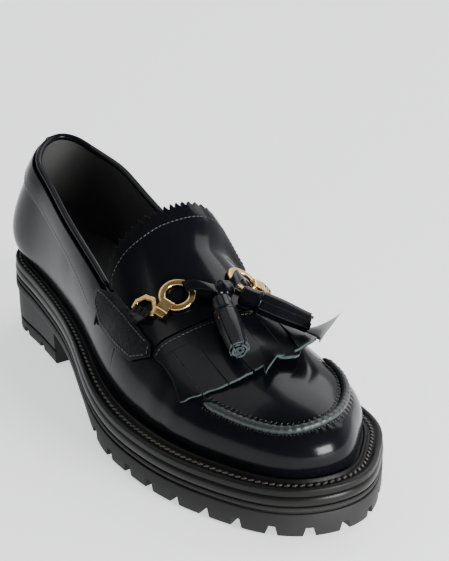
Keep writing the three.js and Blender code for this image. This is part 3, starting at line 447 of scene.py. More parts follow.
def stack_faces(levels, count, partner):
    """Sides of a stack of closed rings, and rungs across its ends from point 0 and its partner on."""
    faces = quads(levels, count, 0, wrap=True)
    for start, flip in ((0, True), ((levels - 1) * count, False)):
        for i in range(count // 2):
            rung = (i, i + 1, (partner - i - 1) % count, (partner - i) % count)
            face = [start + k for k in dict.fromkeys(rung)]
            if len(face) > 2:
                faces.append(tuple(face[::-1] if flip else face))
    return faces


def sweep_faces(count, sides_of_ring, start=0, closed=False):
    faces = quads(count + (1 if closed else 0), sides_of_ring, 0, wrap=True)
    n = count * sides_of_ring
    faces = [tuple(start + i % n for i in f) for f in faces]
    if not closed:
        faces.append(tuple(start + j for j in range(sides_of_ring))[::-1])
        faces.append(tuple(start + n - sides_of_ring + j for j in range(sides_of_ring)))
    return faces


def swept(name, sections, finishes, slot, closed=False, **more):
    """One piece from rings of points, sections x sides x 3."""
    sections = np.asarray(sections)
    faces = sweep_faces(sections.shape[0], sections.shape[1], closed=closed)
    return piece(name, sections, faces, finishes, slot, **more)


print("mesh helpers ready")

# %% [markdown]
# ## Finishes
# The shader maths below is written as Python expressions: a wrapped socket adds the Math nodes
# itself. Every finish is black or nearly so, and they differ in gloss, grain and cut edge.

# %% Socket arithmetic
class Value:
    """A socket whose sums and products add Math nodes to its material."""

    def __init__(self, finish, socket):
        self.finish, self.socket = finish, socket

    def maths(self, operation, *values):
        return self.finish.node("ShaderNodeMath", {"operation": operation}, dict(enumerate(values)))

    def __add__(self, other):
        return self.maths("ADD", self, other)

    def __radd__(self, other):
        return self.maths("ADD", other, self)

    def __sub__(self, other):
        return self.maths("SUBTRACT", self, other)

    def __rsub__(self, other):
        return self.maths("SUBTRACT", other, self)

    def __mul__(self, other):
        return self.maths("MULTIPLY", self, other)

    def __rmul__(self, other):
        return self.maths("MULTIPLY", other, self)

    def __truediv__(self, other):
        return self.maths("DIVIDE", self, other)

    def __pow__(self, other):
        return self.maths("POWER", self, other)


class Finish:
    """A material under construction."""

    def __init__(self, name):
        self.material = bpy.data.materials.new(name)
        self.material.use_nodes = True
        self.tree = self.material.node_tree
        self.tree.nodes.clear()
        self.place = self.node("ShaderNodeTexCoord", output="Object")

    def node(self, kind, settings=None, inputs=None, output=0):
        made = self.tree.nodes.new(kind)
        for key, value in (settings or {}).items():
            if key == "stops":
                ramp = made.color_ramp
                while len(ramp.elements) < len(value):
                    ramp.elements.new(0.5)
                for element, (position, colour) in zip(ramp.elements, value):
                    element.position = position
                    element.color = (*colour, 1)
            else:
                setattr(made, key, value)
        for key, value in (inputs or {}).items():
            self.feed(made.inputs[key], value)
        return Value(self, made.outputs[output])

    def feed(self, socket, value):
        if isinstance(value, Value):
            self.tree.links.new(value.socket, socket)
        elif isinstance(value, tuple) and socket.type == "RGBA":
            socket.default_value = (*value, 1)
        else:
            socket.default_value = value

    def noise(self, size, detail=3, rough=0.55, at=None):
        """Noise whose lumps are about size millimetres across."""
        return self.node("ShaderNodeTexNoise", None, {
            "Vector": at or self.place, "Scale": 1 / (size * MM), "Detail": detail, "Roughness": rough})

    def cells(self, size, feature="DISTANCE_TO_EDGE", output="Distance"):
        return self.node("ShaderNodeTexVoronoi", {"feature": feature},
                         {"Vector": self.place, "Scale": 1 / (size * MM)}, output)

    def attribute(self, name):
        return self.node("ShaderNodeAttribute", {"attribute_name": name}, output="Fac")

    def blend(self, share, a, b):
        return self.node("ShaderNodeMix", {"data_type": "RGBA"}, {0: share, 6: a, 7: b}, 2)

    def step(self, value, low, high, start=0.0, end=1.0):
        return self.node("ShaderNodeMapRange", {"interpolation_type": "SMOOTHSTEP"}, {
            "Value": value, "From Min": low, "From Max": high, "To Min": start, "To Max": end})

    def bump(self, height, depth, strength=1.0, under=None):
        """Depth is the height in millimetres that a value of 1 stands for."""
        inputs = {"Height": height, "Distance": depth * MM, "Strength": strength}
        if under is not None:
            inputs["Normal"] = under
        return self.node("ShaderNodeBump", None, inputs)

    def surface(self, **sockets):
        shader = self.tree.nodes.new("ShaderNodeBsdfPrincipled")
        for key, value in sockets.items():
            self.feed(shader.inputs[key.replace("_", " ")], value)
        out = self.tree.nodes.new("ShaderNodeOutputMaterial")
        self.tree.links.new(shader.outputs[0], out.inputs[0])
        return self.material


print("socket arithmetic ready")

# %% [markdown]
# The shaft is box leather: dyed through, buffed and waxed, so it is nearly black with a blue
# cast and a clear top gloss over a softer one. The pores are too fine to see as dots, and only
# break the reflections a little.

# %% Leather finishes
BOX_GLOSS, FRINGE_GLOSS = 0.17, 0.28
PORE_SIZE, PORE_DEPTH = 0.55, 0.008


def waxed_black(f, gloss, relief):
    """Dyed and waxed leather over a relief, in clouds of two near blacks."""
    cloud = f.noise(28, 2)
    return f.surface(
        Base_Color=f.blend(cloud, (0.0022, 0.0024, 0.0038), (0.0042, 0.0046, 0.0068)),
        Roughness=gloss + 0.10 * (f.noise(6, 3) - 0.5) + 0.05 * cloud,
        Coat_Weight=0.04 + 0.06 * cloud,
        Coat_Roughness=0.07,
        Specular_IOR_Level=0.12,
        Normal=f.bump(f.noise(PORE_SIZE, 2), PORE_DEPTH, 1.0, relief),
    )


def polished(name, gloss=BOX_GLOSS):
    f = Finish(name)
    return waxed_black(f, gloss, f.bump(f.noise(9, 2), 0.05))


def grained(name):
    f = Finish(name)
    cells = f.cells(1.1)
    creases = f.step(cells, 0.0, 0.22)
    fine = f.noise(0.35, 2)
    return f.surface(
        # The grain's sunken crease lines take the darker base colour, which is painted shade in the creases.
        # Their bump and roughness are the real relief.
        Base_Color=f.blend(creases, (0.0014, 0.0014, 0.0019), (0.0040, 0.0042, 0.0052)),
        Roughness=0.34 - 0.10 * creases + 0.08 * f.noise(7, 2),
        Coat_Weight=0.08,
        Coat_Roughness=0.18,
        Specular_IOR_Level=0.12,
        Normal=f.bump(fine, 0.03, 0.8, f.bump(creases, 0.10, 1.0)),
    )


def lined(name):
    f = Finish(name)
    return f.surface(
        Base_Color=f.blend(f.noise(20, 3), (0.070, 0.069, 0.068), (0.100, 0.099, 0.097)),
        Roughness=0.46 + 0.15 * f.noise(4, 3),
        Specular_IOR_Level=0.3,
        Normal=f.bump(f.noise(0.5, 3), 0.05),
    )


def raw_edge(name):
    f = Finish(name)
    fibres = f.noise(0.35, 4, 0.7)
    return f.surface(
        Base_Color=f.blend(fibres, (0.016, 0.028, 0.029), (0.060, 0.088, 0.088)),
        Roughness=0.75 + 0.1 * fibres,
        Normal=f.bump(fibres, 0.15),
    )


def waxed_thread(name, dark=(0.010, 0.010, 0.011), light=(0.035, 0.035, 0.037)):
    f = Finish(name)
    strands = f.noise(0.25, 2)
    return f.surface(
        Base_Color=f.blend(strands, dark, light),
        Roughness=0.42 + 0.1 * strands,
        Coat_Weight=0.3,
        Coat_Roughness=0.25,
        Normal=f.bump(strands, 0.05),
    )


box_leather = polished("box_leather")
fringe_leather = polished("fringe_leather", FRINGE_GLOSS)
saddle_leather = grained("saddle_leather")
lining = lined("lining")
cut_edge = raw_edge("cut_edge")
thread = waxed_thread("waxed_thread")
pale_thread = waxed_thread("pale_thread", (0.014, 0.014, 0.015), (0.050, 0.050, 0.053))
print("leather finishes:", len(bpy.data.materials))

# %% [markdown]
# The sole is moulded rubber, matt on its wall and satin on the midsole's round. The rings are
# cast brass with a gold flash, polished and then handled, so fine scratches spread the glints.

# %% Rubber and metal finishes
def rubber(name, dark, light, rough, relief=0.04):
    f = Finish(name)
    speckle = f.noise(0.6, 3, 0.6)
    cloud = f.noise(18, 3)
    return f.surface(
        Base_Color=f.blend(0.5 * speckle + 0.5 * cloud, dark, light),
        Roughness=rough + 0.12 * (cloud - 0.5) + 0.08 * (speckle - 0.5),
        Specular_IOR_Level=0.2,
        Normal=f.bump(speckle, relief),
    )


def gilded(name):
    f = Finish(name)
    scratches = f.node("ShaderNodeTexNoise", None, {
        "Vector": f.node("ShaderNodeMapping", None, {"Vector": f.place, "Scale": (1.0, 0.12, 1.0)}),
        "Scale": 1 / (0.5 * MM), "Detail": 4.0, "Roughness": 0.6})
    tone = f.noise(3.5, 2)
    return f.surface(
        Base_Color=f.blend(tone, (0.56, 0.36, 0.12), (0.86, 0.62, 0.28)),
        Metallic=1.0,
        Roughness=0.15 + 0.10 * scratches + 0.06 * tone,
        Normal=f.bump(scratches, 0.012, 1.0, f.bump(f.noise(2.2, 2), 0.03)),
    )


sole_rubber = rubber("sole_rubber", (0.013, 0.013, 0.0133), (0.024, 0.0235, 0.0235), 0.62)
midsole_rubber = rubber("midsole_rubber", (0.0046, 0.0044, 0.0040), (0.0095, 0.0089, 0.0080), 0.36, 0.02)
welt_rubber = rubber("welt_rubber", (0.0022, 0.0022, 0.0022), (0.0060, 0.0060, 0.0057), 0.46, 0.12)
gold = gilded("gold")
print("finishes in all:", len(bpy.data.materials))

# %% [markdown]
# ## Stitches
# Each stitch is a short capsule laid along its seam and sunk a little into the leather. One
# helper samples any line at a pitch, another joins all the capsules of a seam into one piece.

# %% Stitch helpers
STRAP_STITCH, SADDLE_STITCH, FINE_STITCH = (2.6, 1.9, 0.28), (2.3, 1.7, 0.28), (2.2, 1.6, 0.25)
STITCH_LIFT = 0.12


def spaced(points, normals, pitch, start=0.5):
    """Centres, directions and normals at a pitch along a line of points."""
    run = run_along(points)
    at = np.arange(start * pitch, run[-1] - 0.3 * pitch, pitch)
    centre = np.stack([np.interp(at, run, points[:, k]) for k in range(3)], -1)
    ahead = np.stack([np.interp(at + 0.4, run, points[:, k]) for k in range(3)], -1)
    behind = np.stack([np.interp(at - 0.4, run, points[:, k]) for k in range(3)], -1)
    up = unit(np.stack([np.interp(at, run, normals[:, k]) for k in range(3)], -1))
    return centre, unit(ahead - behind), up


def capsules(centre, ahead, up, length, radius, tilt=0.0, flat=0.7):
    """Points and faces of capsules, with tilt turning each in the surface."""
    side = unit(np.cross(up, ahead))
    c, s = math.cos(tilt), math.sin(tilt)
    ahead, side = ahead * c + side * s, side * c - ahead * s
    rows, cols = 5, 6
    points, faces = [], []
    for k in range(len(centre)):
        base = len(points)
        for i in range(rows):
            w = math.pi * (i + 0.5) / rows
            reach = -math.cos(w)
            r = radius * math.sin(w) ** 0.5
            for j in range(cols):
                a = 2 * math.pi * j / cols
                points.append(centre[k] + ahead[k] * reach * length / 2
                              + side[k] * r * math.cos(a) + up[k] * r * flat * math.sin(a))
        faces += sweep_faces(rows, cols, base)
    return points, faces


def seam(name, lines, pitch, length, radius, finish=None, tilt=0.0, slot="polished_leather"):
    points, faces = [], []
    for line, normals in lines:
        p, f = capsules(*spaced(line, normals, pitch), length, radius, tilt)
        faces += [tuple(len(points) + i for i in face) for face in f]
        points += p
    return piece(name, points, faces, [finish or thread], slot)


print("stitch helpers ready")

# %% [markdown]
# ## Upper
# The upper is one shell. Its outer face is the last itself, its inner face lies a wall's
# thickness inside, and the inner face takes the lining's finish. The moccasin seam's line is
# stored on the points, so that the finish can pucker the leather along it.

# %% Moccasin seam line
RIDGE = table("column cross", [
    (0.3650, -0.583),
    (0.3840, -0.586),
    (0.4040, -0.595),
    (0.4240, -0.596),
    (0.4480, -0.584),
    (0.4720, -0.545),
    (0.4960, -0.517),
    (0.5200, -0.515),
    (0.5440, -0.526),
    (0.5680, -0.525),
    (0.5920, -0.507),
    (0.6160, -0.502),
    (0.6400, -0.492),
])
RIDGE_WIDTH, RIDGE_HEIGHT, PUCKER = 4.4, 2.6, 3.3


def ridge_line(count):
    s = np.linspace(0, 1, len(RIDGE["column"]))
    q = np.linspace(0, 1, count)
    return Curve(s, RIDGE["column"])(q), 1 + Curve(s, RIDGE["cross"])(q)


def ridge_coordinates(points):
    """Distance along the seam and away from it, outward positive, for each point."""
    u, t = ridge_line(360)
    line = last_point(u, t)
    run = run_along(line)
    middle = np.array([line[:, 0].min(), line[:, 1].mean()])
    away, along_it = np.full(len(points), 99.0), np.zeros(len(points))
    near = np.where(points[:, 0] > line[:, 0].min() - 12)[0]
    for part in np.array_split(near, 1 + len(near) // 3000):
        d = np.linalg.norm(points[part, None] - line[None], axis=-1)
        k = d.argmin(1)
        line_reach = np.linalg.norm(line[k, :2] - middle, axis=1)
        outward = np.linalg.norm(points[part, :2] - middle, axis=1) > line_reach
        away[part] = np.where(outward, 1, -1) * d[np.arange(len(part)), k]
        along_it[part] = run[k]
    return away, along_it


# %% Upper shell
def gathered(name):
    """Polished leather that puckers on both sides of the moccasin seam."""
    f = Finish(name)
    away, run = f.attribute("seam_away"), f.attribute("seam_run")
    wave = f.node("ShaderNodeMath", {"operation": "SINE"}, {0: run * (2 * math.pi / PUCKER)})
    outer = f.step(away, 1.0, 2.2) * (1 - f.step(away, 2.6, 5.5))
    inner = f.step(away, -4.2, -2.6) * (1 - f.step(away, -2.0, -0.5))
    puckers = f.bump(wave * (outer + 0.5 * inner), 0.16)
    return waxed_black(f, BOX_GLOSS, f.bump(f.noise(11, 2), 0.06, 1.0, puckers))


CREASES = table("column cross length width depth", [
    (0.300, -0.82, 18, 7.5, 0.12),
    (0.328, -0.78, 20, 4.6, 0.20),
    (0.352, -0.80, 17, 4.2, 0.14),
    (0.212, -0.62, 14, 5.0, 0.22),
    (0.170, -0.70, 18, 6.0, 0.18),
    (0.304, 0.80, 16, 4.0, 0.20),
    (0.330, 0.76, 18, 4.6, 0.20),
    (0.205, 0.66, 16, 5.0, 0.20),
])


def crease_depth(points):
    """Soft troughs: one bell across each crease and one along it."""
    depth = np.zeros(points.shape[:-1])
    for column, cross, length, width, deep in zip(*CREASES.values()):
        centre = skin(column, cross)
        ahead = unit(skin(column, cross * 0.94) - centre)
        normal = skin_normal(column, cross)
        side = np.cross(normal, ahead)
        d = points - centre
        bell = np.exp(-((d @ side) / width) ** 2 - ((d @ ahead) / length) ** 2)
        ridges = np.exp(-(((np.abs(d @ side)) - 2 * width) / width) ** 2 - ((d @ ahead) / length) ** 2)
        near = np.abs(d @ normal) < 14
        depth += near * (0.4 * deep * ridges - deep * bell)
    return depth


def make_upper():
    stations, rows = 500, 58
    u = np.arange(stations) / stations
    top = opening(u)
    closed = (top == 1) & (np.roll(top[::-1], 1) == 1)
    s = np.linspace(0, 1, rows)[:, None]
    t = s * top[None]
    base = last_point(u[None], t)
    normal = last_normal(u[None], t)
    outer = base + normal * crease_depth(base)[..., None]
    inner = base - normal * WALL
    points = np.concatenate([outer.reshape(-1, 3), inner.reshape(-1, 3)])
    n = rows * stations
    faces = quads(rows, stations, 0, wrap=True)
    kinds = [0] * len(faces)
    faces += [f[::-1] for f in quads(rows, stations, n, wrap=True)]
    kinds += [1] * (len(faces) - len(kinds))
    last_row = (rows - 1) * stations
    for k in range(stations):
        q = (k + 1) % stations
        faces.append((k, q, n + q, n + k))
        kinds.append(1)
        if not (closed[k] and closed[q]):
            faces.append((last_row + k, n + last_row + k, n + last_row + q, last_row + q))
            kinds.append(0)
    away, run = ridge_coordinates(points)
    return piece("upper_shell", points, faces, [gathered("gathered_leather"), lining], "polished_leather",
                 replaces=["upper"], finish_of=kinds, attributes={"seam_away": away, "seam_run": run})


upper = make_upper()
print("upper", len(upper.data.polygons), "faces")

# %% [markdown]
# ## Collar
# A folded band lies under the top line and widens toward the instep. Over the edge itself sits
# a rolled bead, which is what gives the real collar its double line of light.

# %% Collar band and bead
BAND_THICK, BAND_WIDTH, BAND_END, UNDER_BEAD, BEAD_RADIUS = 1.2, 12, 0.222, 0.8, 1.5


def band_share(u, low):
    width = BAND_WIDTH * mix(1, 1.35, smooth(along(u), 0.25, 0.5))
    return opening(u, width if low else UNDER_BEAD + 0 * u)


UNDER_SADDLE = 0.231


def make_band():
    u = np.linspace(-UNDER_SADDLE, UNDER_SADDLE, 300)
    low, high = band_share(u, True), band_share(u, False)
    w = np.linspace(0, 1, 12)[:, None]
    t = mix(low, high, w)
    swell = BAND_THICK + 0.25 * np.sin(np.pi * w) + 0 * t
    lower = on_last(u[None], t, GAP)
    upper_face = on_last(u[None], t, GAP + swell)
    return sheets("collar_band_strip", [(lower, upper_face)], [box_leather], "polished_leather",
                  bevel=0.4, replaces=["collar_band"])


def make_bead():
    u = np.linspace(-UNDER_SADDLE, UNDER_SADDLE, 380)
    t = opening(u)
    normal = last_normal(u, t)
    sink = smooth(np.abs(u), BAND_END, UNDER_SADDLE)
    edge = on_last(u, t, -WALL / 2 - 0.8 * sink)
    run = unit(np.gradient(on_last(u, t, 0), axis=0))
    up = unit(np.cross(run, normal))
    up *= np.sign(up[:, 2:3])
    centre = edge + up * (BEAD_RADIUS + GAP)
    w = 2 * np.pi * np.arange(16) / 16
    notch = 1 - 0.16 * np.exp(-((np.mod(w - 0.5 + np.pi, 2 * np.pi) - np.pi) / 0.22) ** 2)
    size = BEAD_RADIUS * (1 - 0.45 * sink)[:, None, None]
    ring = size * ((np.cos(w) * 1.15 * notch)[None, :, None] * normal[:, None]
                   + (np.sin(w) * notch)[None, :, None] * up[:, None])
    return swept("collar_bead", centre[:, None] + ring, [box_leather], "polished_leather",
                 replaces=["collar_binding"])


make_band()
make_bead()
seam_u = np.linspace(-BAND_END + 0.003, BAND_END - 0.003, 500)
seam_t = mix(band_share(seam_u, True), band_share(seam_u, False), 0.16)
band_lift = GAP + BAND_THICK + STITCH_LIFT
seam("band_stitches", [(on_last(seam_u, seam_t, band_lift), last_normal(seam_u, seam_t))], *STRAP_STITCH)
print("collar done")

# %% [markdown]
# ## Heel strip
# A strip covers the seam down the heel back, and a small patch is sewn over the band above it.

# %% Backstay and tab
BACKSTAY_WIDTH, TAB_WIDTH = 15, 9


def half_share(width):
    u = np.arange(0, 0.1, 0.0005)
    x, y = foot(u)
    return u[np.argmax(np.hypot(x - x[0], y - y[0]) >= width / 2)]


def make_backstay():
    half = half_share(BACKSTAY_WIDTH)
    u = np.linspace(-half, half, 16)[None]
    top = opening(u[0], BAND_WIDTH + 1 + 0 * u[0])
    t = mix(0.015, top[None], np.linspace(0, 1, 40)[:, None])
    return sheets("backstay_strip", [(on_last(u, t, GAP), on_last(u, t, GAP + BAND_THICK))],
                  [box_leather], "polished_leather", bevel=0.4, replaces=["backstay"])


def make_back_tab():
    half = half_share(TAB_WIDTH)
    low = 2 * GAP + BAND_THICK
    u = np.linspace(-half, half, 10)[None]
    bottom = opening(u[0], BAND_WIDTH + 1 + 0 * u[0])
    top = opening(u[0], UNDER_BEAD + 0 * u[0])
    t = mix(bottom[None], top[None], np.linspace(0, 1, 12)[:, None])
    return sheets("back_tab_patch", [(on_last(u, t, low), on_last(u, t, low + BAND_THICK))],
                  [box_leather], "polished_leather", bevel=0.4, replaces=["back_tab"])


make_backstay()
make_back_tab()
stay_half = half_share(BACKSTAY_WIDTH) * 0.82
up_stay = np.linspace(0.05, 0.34, 120)
stay_lines = []
for stay_side in (np.full(120, -stay_half), np.full(120, stay_half)):
    stay_line = on_last(stay_side, up_stay, GAP + BAND_THICK + 0.1)
    stay_lines.append((stay_line, last_normal(stay_side, up_stay)))
seam("backstay_stitches", stay_lines, *STRAP_STITCH)
print("heel strip done")

# %% [markdown]
# ## Side saddles
# A stitched panel on each side carries the hardware. Its outline is five points on each long
# edge, joined here by straight lines, and the stitches run in rows parallel to its edges.

# %% Side saddles
SADDLE_THICK, TONGUE_UP = 1.4, 0.490
SADDLE_LOW = table("column up", [
    (0.2230, 0.345),
    (0.2400, 0.272),
    (0.2640, 0.283),
    (0.2830, 0.305),
    (0.2985, 0.425),
])
SADDLE_HIGH = table("column up", [
    (0.2235, 0.385),
    (0.2345, 0.430),
    (0.2560, 0.470),
    (0.2755, 0.480),
    (0.2925, 0.472),
])


def saddle_share(s, w):
    steps = np.linspace(0, 1, 5)
    low = [np.interp(s, steps, SADDLE_LOW[k]) for k in ("column", "up")]
    high = [np.interp(s, steps, SADDLE_HIGH[k]) for k in ("column", "up")]
    return mix(low[0], high[0], w), mix(low[1], high[1], w)


def over_band(column):
    """The saddle's back part lies over the end of the collar band."""
    return (BAND_THICK + 0.15) * (1 - smooth(column, 0.226, 0.246))


def saddle_line(side, start, end, lift, count=200):
    s, w = (np.linspace(a, b, count) for a, b in zip(start, end))
    column, up = saddle_share(s, w)
    cross = side * (1 - up)
    return skin(column, cross, lift + over_band(column)), skin_normal(column, cross)


def make_saddle(side, name):
    s, w = np.meshgrid(np.linspace(0, 1, 49), np.linspace(0, 1, 17), indexing="ij")
    column, up = saddle_share(s, w)
    cross = side * (1 - up)
    swell = 0.25 * np.sin(np.pi * s) * np.sin(np.pi * w) + over_band(column)
    sheets(f"saddle_{name}_panel", [(skin(column, cross, GAP + over_band(column)),
                                      skin(column, cross, GAP + SADDLE_THICK + swell))],
           [saddle_leather], "grained_leather", bevel=0.4, replaces=[f"saddle_{name}"])
    lift = GAP + SADDLE_THICK + 0.22
    lines = [
        saddle_line(side, (0.06, 0.14), (0.94, 0.14), lift),
        saddle_line(side, (0.06, 0.14), (0.06, 0.86), lift),
        saddle_line(side, (0.06, 0.86), (0.94, 0.86), lift),
        saddle_line(side, (0.955, 0.14), (0.955, 0.86), lift),
    ]
    seam(f"saddle_{name}_stitches", lines, *SADDLE_STITCH, pale_thread, slot="grained_leather")


make_saddle(-1, "lateral")
make_saddle(1, "medial")
print("saddles done")

# %% [markdown]
# ## Tongue
# The tongue lies under the hardware and stands up behind it. Its back edge is pinked, which
# means that it was cut with a zigzag blade, and a seam follows the teeth.

# %% Tongue
TONGUE_THICK, PINK_DEPTH, TONGUE_TEETH, TONGUE_EAR, TONGUE_FLARE = 1.6, 1.8, 23, 0.048, 8.5
TONGUE_BACK = table("cross column", [
    (-0.552, 0.2345),
    (-0.525, 0.2275),
    (-0.480, 0.2235),
    (-0.420, 0.2220),
    (-0.280, 0.2228),
    (-0.150, 0.2235),
    (0.000, 0.2240),
    (0.150, 0.2230),
    (0.300, 0.2230),
    (0.420, 0.2270),
    (0.552, 0.2440),
])
SEAM_ROWS = table("cross column", [
    (-0.600, 0.3030),
    (-0.560, 0.3000),
    (-0.500, 0.2978),
    (-0.400, 0.3000),
    (-0.280, 0.3030),
    (0.000, 0.3055),
    (0.280, 0.3030),
    (0.400, 0.3000),
    (0.500, 0.2978),
    (0.560, 0.3000),
    (0.600, 0.3030),
])
tongue_back = Curve(TONGUE_BACK["cross"], TONGUE_BACK["column"])
seam_at = Curve(SEAM_ROWS["cross"], SEAM_ROWS["column"])
TONGUE_HALF = 1 - TONGUE_UP - 0.006


def tongue_stand(s, v):
    """How far the tongue stands off the last: free at its back edge, and inward most."""
    side = smooth(v, -0.1, 0.35) * (1 - 0.5 * smooth(v, 0.38, 0.62))
    return TONGUE_FLARE * (1 - smooth(s, 0, 0.36)) * side


def make_tongue():
    per_tooth = 6
    cols, rows = TONGUE_TEETH * per_tooth + 1, 44
    way = np.linspace(-1, 1, cols)
    phase = np.arange(cols) % per_tooth / per_tooth
    tooth = (1 - np.abs(2 * phase - 1)) * PINK_DEPTH / LAST_LENGTH / 2
    s = np.linspace(0, 1, rows)[:, None] ** 1.3
    v = way * (TONGUE_HALF + TONGUE_EAR * (1 - s) ** 3)
    fade = np.clip(1 - s / 0.05, 0, 1)
    c = mix(tongue_back(v), seam_at(v) - 0.0012, s) - tooth * fade
    swell = 0.5 * np.sin(np.pi * (way + 1) / 2) * np.sin(np.pi * s) ** 2 + tongue_stand(s, v)
    low, high = skin(c, v, GAP + swell), skin(c, v, GAP + TONGUE_THICK + swell)
    sheets("tongue_flap", [(low, high)], [box_leather], "polished_leather", bevel=0.22,
           replaces=["tongue"])
    way = np.linspace(-0.985, 0.985, 500)
    s = 0.085
    v = way * (TONGUE_HALF + TONGUE_EAR * (1 - s) ** 3)
    c = mix(tongue_back(v), seam_at(v) - 0.0012, s)
    lift = GAP + TONGUE_THICK + STITCH_LIFT + tongue_stand(s, v) + 0.5 * np.sin(np.pi * (way + 1) / 2) * 0.07
    return seam("tongue_stitches", [(skin(c, v, lift), skin_normal(c, v))], *FINE_STITCH)


make_tongue()
print("tongue done")

# %% [markdown]
# ## Fringe
# The kiltie is one piece of leather with its front cut into strips. They lie loosely over the
# vamp, each with its own lift and curl, and their cut edges show the raw grey-green core.

# %% Fringe
KILTIE_THICK, KILTIE_ROOT, SLIT = 1.5, 0.012, 0.0013
STRIPS = table("start end tip_a cross_a lift_a tip_b cross_b lift_b rise curl", [
    (-0.560, -0.455, 0.3460, -0.676, 0.2, 0.3590, -0.537, 0.2, 1.6, 0.10),
    (-0.455, -0.305, 0.3600, -0.535, 0.3, 0.3738, -0.366, 0.5, 1.6, 0.15),
    (-0.305, -0.150, 0.3745, -0.363, 0.8, 0.3840, -0.185, 1.2, 1.6, -0.20),
    (-0.150, 0.010, 0.3850, -0.176, 1.8, 0.3900, -0.040, 2.6, 1.6, 0.30),
    (0.010, 0.160, 0.4120, -0.190, 4.8, 0.4120, -0.020, 5.4, 1.6, -0.30),
    (0.160, 0.310, 0.3960, 0.020, 3.0, 0.3920, 0.130, 3.4, 1.6, 0.20),
    (0.310, 0.465, 0.3910, 0.113, 6.2, 0.3760, 0.266, 10.3, 1.05, 0.20),
    (0.465, 0.575, 0.3840, 0.268, 11.2, 0.3440, 0.510, 22.0, 0.90, 0.20),
])


def fringe_point(w, f, over, strip):
    """Point at a share w across a strip and f along it, from its root to its own tip."""
    row = {k: column[strip] for k, column in STRIPS.items()}
    slit = SLIT * (1 - 2 * w)
    root = mix(row["start"], row["end"], w) + slit
    ragged = 0.0005 * np.sin(9.0 * w + 2.1 * strip)
    column = mix(seam_at(root) + KILTIE_ROOT, mix(row["tip_a"], row["tip_b"], w) + ragged, f)
    cross = mix(root, mix(row["cross_a"], row["cross_b"], w) + slit, f * f)
    curl = row["curl"] * f * ((2 * w - 1) ** 2 - 0.4)
    return skin(column, cross, over + mix(row["lift_a"], row["lift_b"], w) * f ** row["rise"] + curl)


def make_fringe():
    f, w = np.meshgrid(np.linspace(0, 1, 40), np.linspace(0, 1, 13), indexing="ij")
    grids = [tuple(fringe_point(w, f, GAP + up, strip) for up in (0, KILTIE_THICK)) for strip in range(8)]
    s, w = np.meshgrid(np.linspace(0, 1, 8), np.linspace(0, 1, 120), indexing="ij")
    v = mix(STRIPS["start"][0], STRIPS["end"][-1], w)
    c = seam_at(v) + (KILTIE_ROOT + 0.0004) * s
    root = skin(c, v, GAP), skin(c, v, GAP + KILTIE_THICK)
    sheets("kiltie_root", [root], [fringe_leather], "polished_leather", bevel=0.3)
    return sheets("kiltie_fringe", grids, [fringe_leather, cut_edge], "polished_leather", bevel=0.3,
                  replaces=["kiltie"])


make_fringe()
root_v = np.linspace(-0.55, 0.56, 500)
root_c = seam_at(root_v) + 0.0032
root_line = skin(root_c, root_v, GAP + KILTIE_THICK + STITCH_LIFT), skin_normal(root_c, root_v)
seam("kiltie_stitches", [root_line], *FINE_STITCH)
print("fringe done")

# %% [markdown]
# ## Moccasin ridge
# The apron and the vamp are sewn edge to edge and stand up in a ridge. The thread pulls it in at
# every stitch, so the ridge swells between the stitches and the leather beside it puckers.

# %% Moccasin ridge
def make_ridge():
    count, around = 520, 14
    u, t = ridge_line(count)
    centre, normal = last_point(u, t), last_normal(u, t)
    ahead = unit(np.gradient(centre, axis=0))
    side = unit(np.cross(normal, ahead))
    run = run_along(centre)
    swell = 1 + 0.05 * np.cos(2 * np.pi * run / PUCKER)[:, None]
    w = np.linspace(-0.08 * np.pi, 1.08 * np.pi, around)[None]
    across_ridge = np.cos(w) * RIDGE_WIDTH * 0.44 * swell
    up = (0.10 + 0.90 * np.maximum(np.sin(w), -0.3)) * (RIDGE_HEIGHT - 0.3) * swell
    ends = np.minimum(1, np.minimum(run, run[-1] - run)[:, None] / 5) ** 0.5
    sections = centre[:, None] + side[:, None] * (across_ridge * ends)[..., None] \
        + normal[:, None] * (0.5 + up * ends)[..., None]
    swept("ridge_fold", sections, [ridge_leather], "edge_leather", replaces=["moc_ridge"])
    outer = centre + side * (RIDGE_WIDTH * 0.5 + 0.9) + normal * 0.22
    inner = centre - side * (RIDGE_WIDTH * 0.5 + 0.1) + normal * 0.30
    seam("ridge_stitches_outer", [(outer, normal)], PUCKER * 0.75, 1.3, 0.22,
         pale_thread, tilt=0.9, slot="edge_leather")
    seam("ridge_stitches_inner", [(inner, normal)], PUCKER * 0.5, 0.9, 0.18,
         tilt=-0.5, slot="edge_leather")


def waxed_edge(name):
    f = Finish(name)
    fibres = f.noise(0.5, 3, 0.6)
    return f.surface(
        Base_Color=f.blend(fibres, (0.005, 0.008, 0.0078), (0.020, 0.028, 0.027)),
        Roughness=0.40 + 0.15 * fibres,
        Coat_Weight=0.10,
        Coat_Roughness=0.3,
        Normal=f.bump(fibres, 0.06),
    )


ridge_leather = waxed_edge("ridge_leather")
make_ridge()
print("ridge done")

# %% [markdown]
# ## Frames for the hardware
# Rings, dees and knot each sit in a small frame on the last: x across the shoe, y away from the
# knot, z out of the leather. The whole strap leans back a little toward the heel.

# %% Frames for the hardware
RING_RADIUS, RING_WIDTH, RING_THICK = 8.7, 3.3, 1.8
DEE_WIDTH, DEE_LENGTH, DEE_BAR = 12.8, 7.6, 2.0
TAB_LENGTH, CLASP_WIDTH = 6.5, 6.2
STRAP_WIDTH, STRAP_THICK = 4.6, 1.6
METAL_LIFT = GAP + TONGUE_THICK + GAP
METAL_UP = METAL_LIFT + 0.5
HARDWARE_COLUMN, KNOT_COLUMN, RING_CROSS = 0.2775, 0.2880, 0.240
LEAN = math.radians(17)
SIDES = ((-1, "lateral"), (1, "medial"))
POST_AT = RING_RADIUS + GAP + DEE_BAR / 2
DEE_MIDDLE = RING_RADIUS + GAP + DEE_BAR + DEE_LENGTH / 2


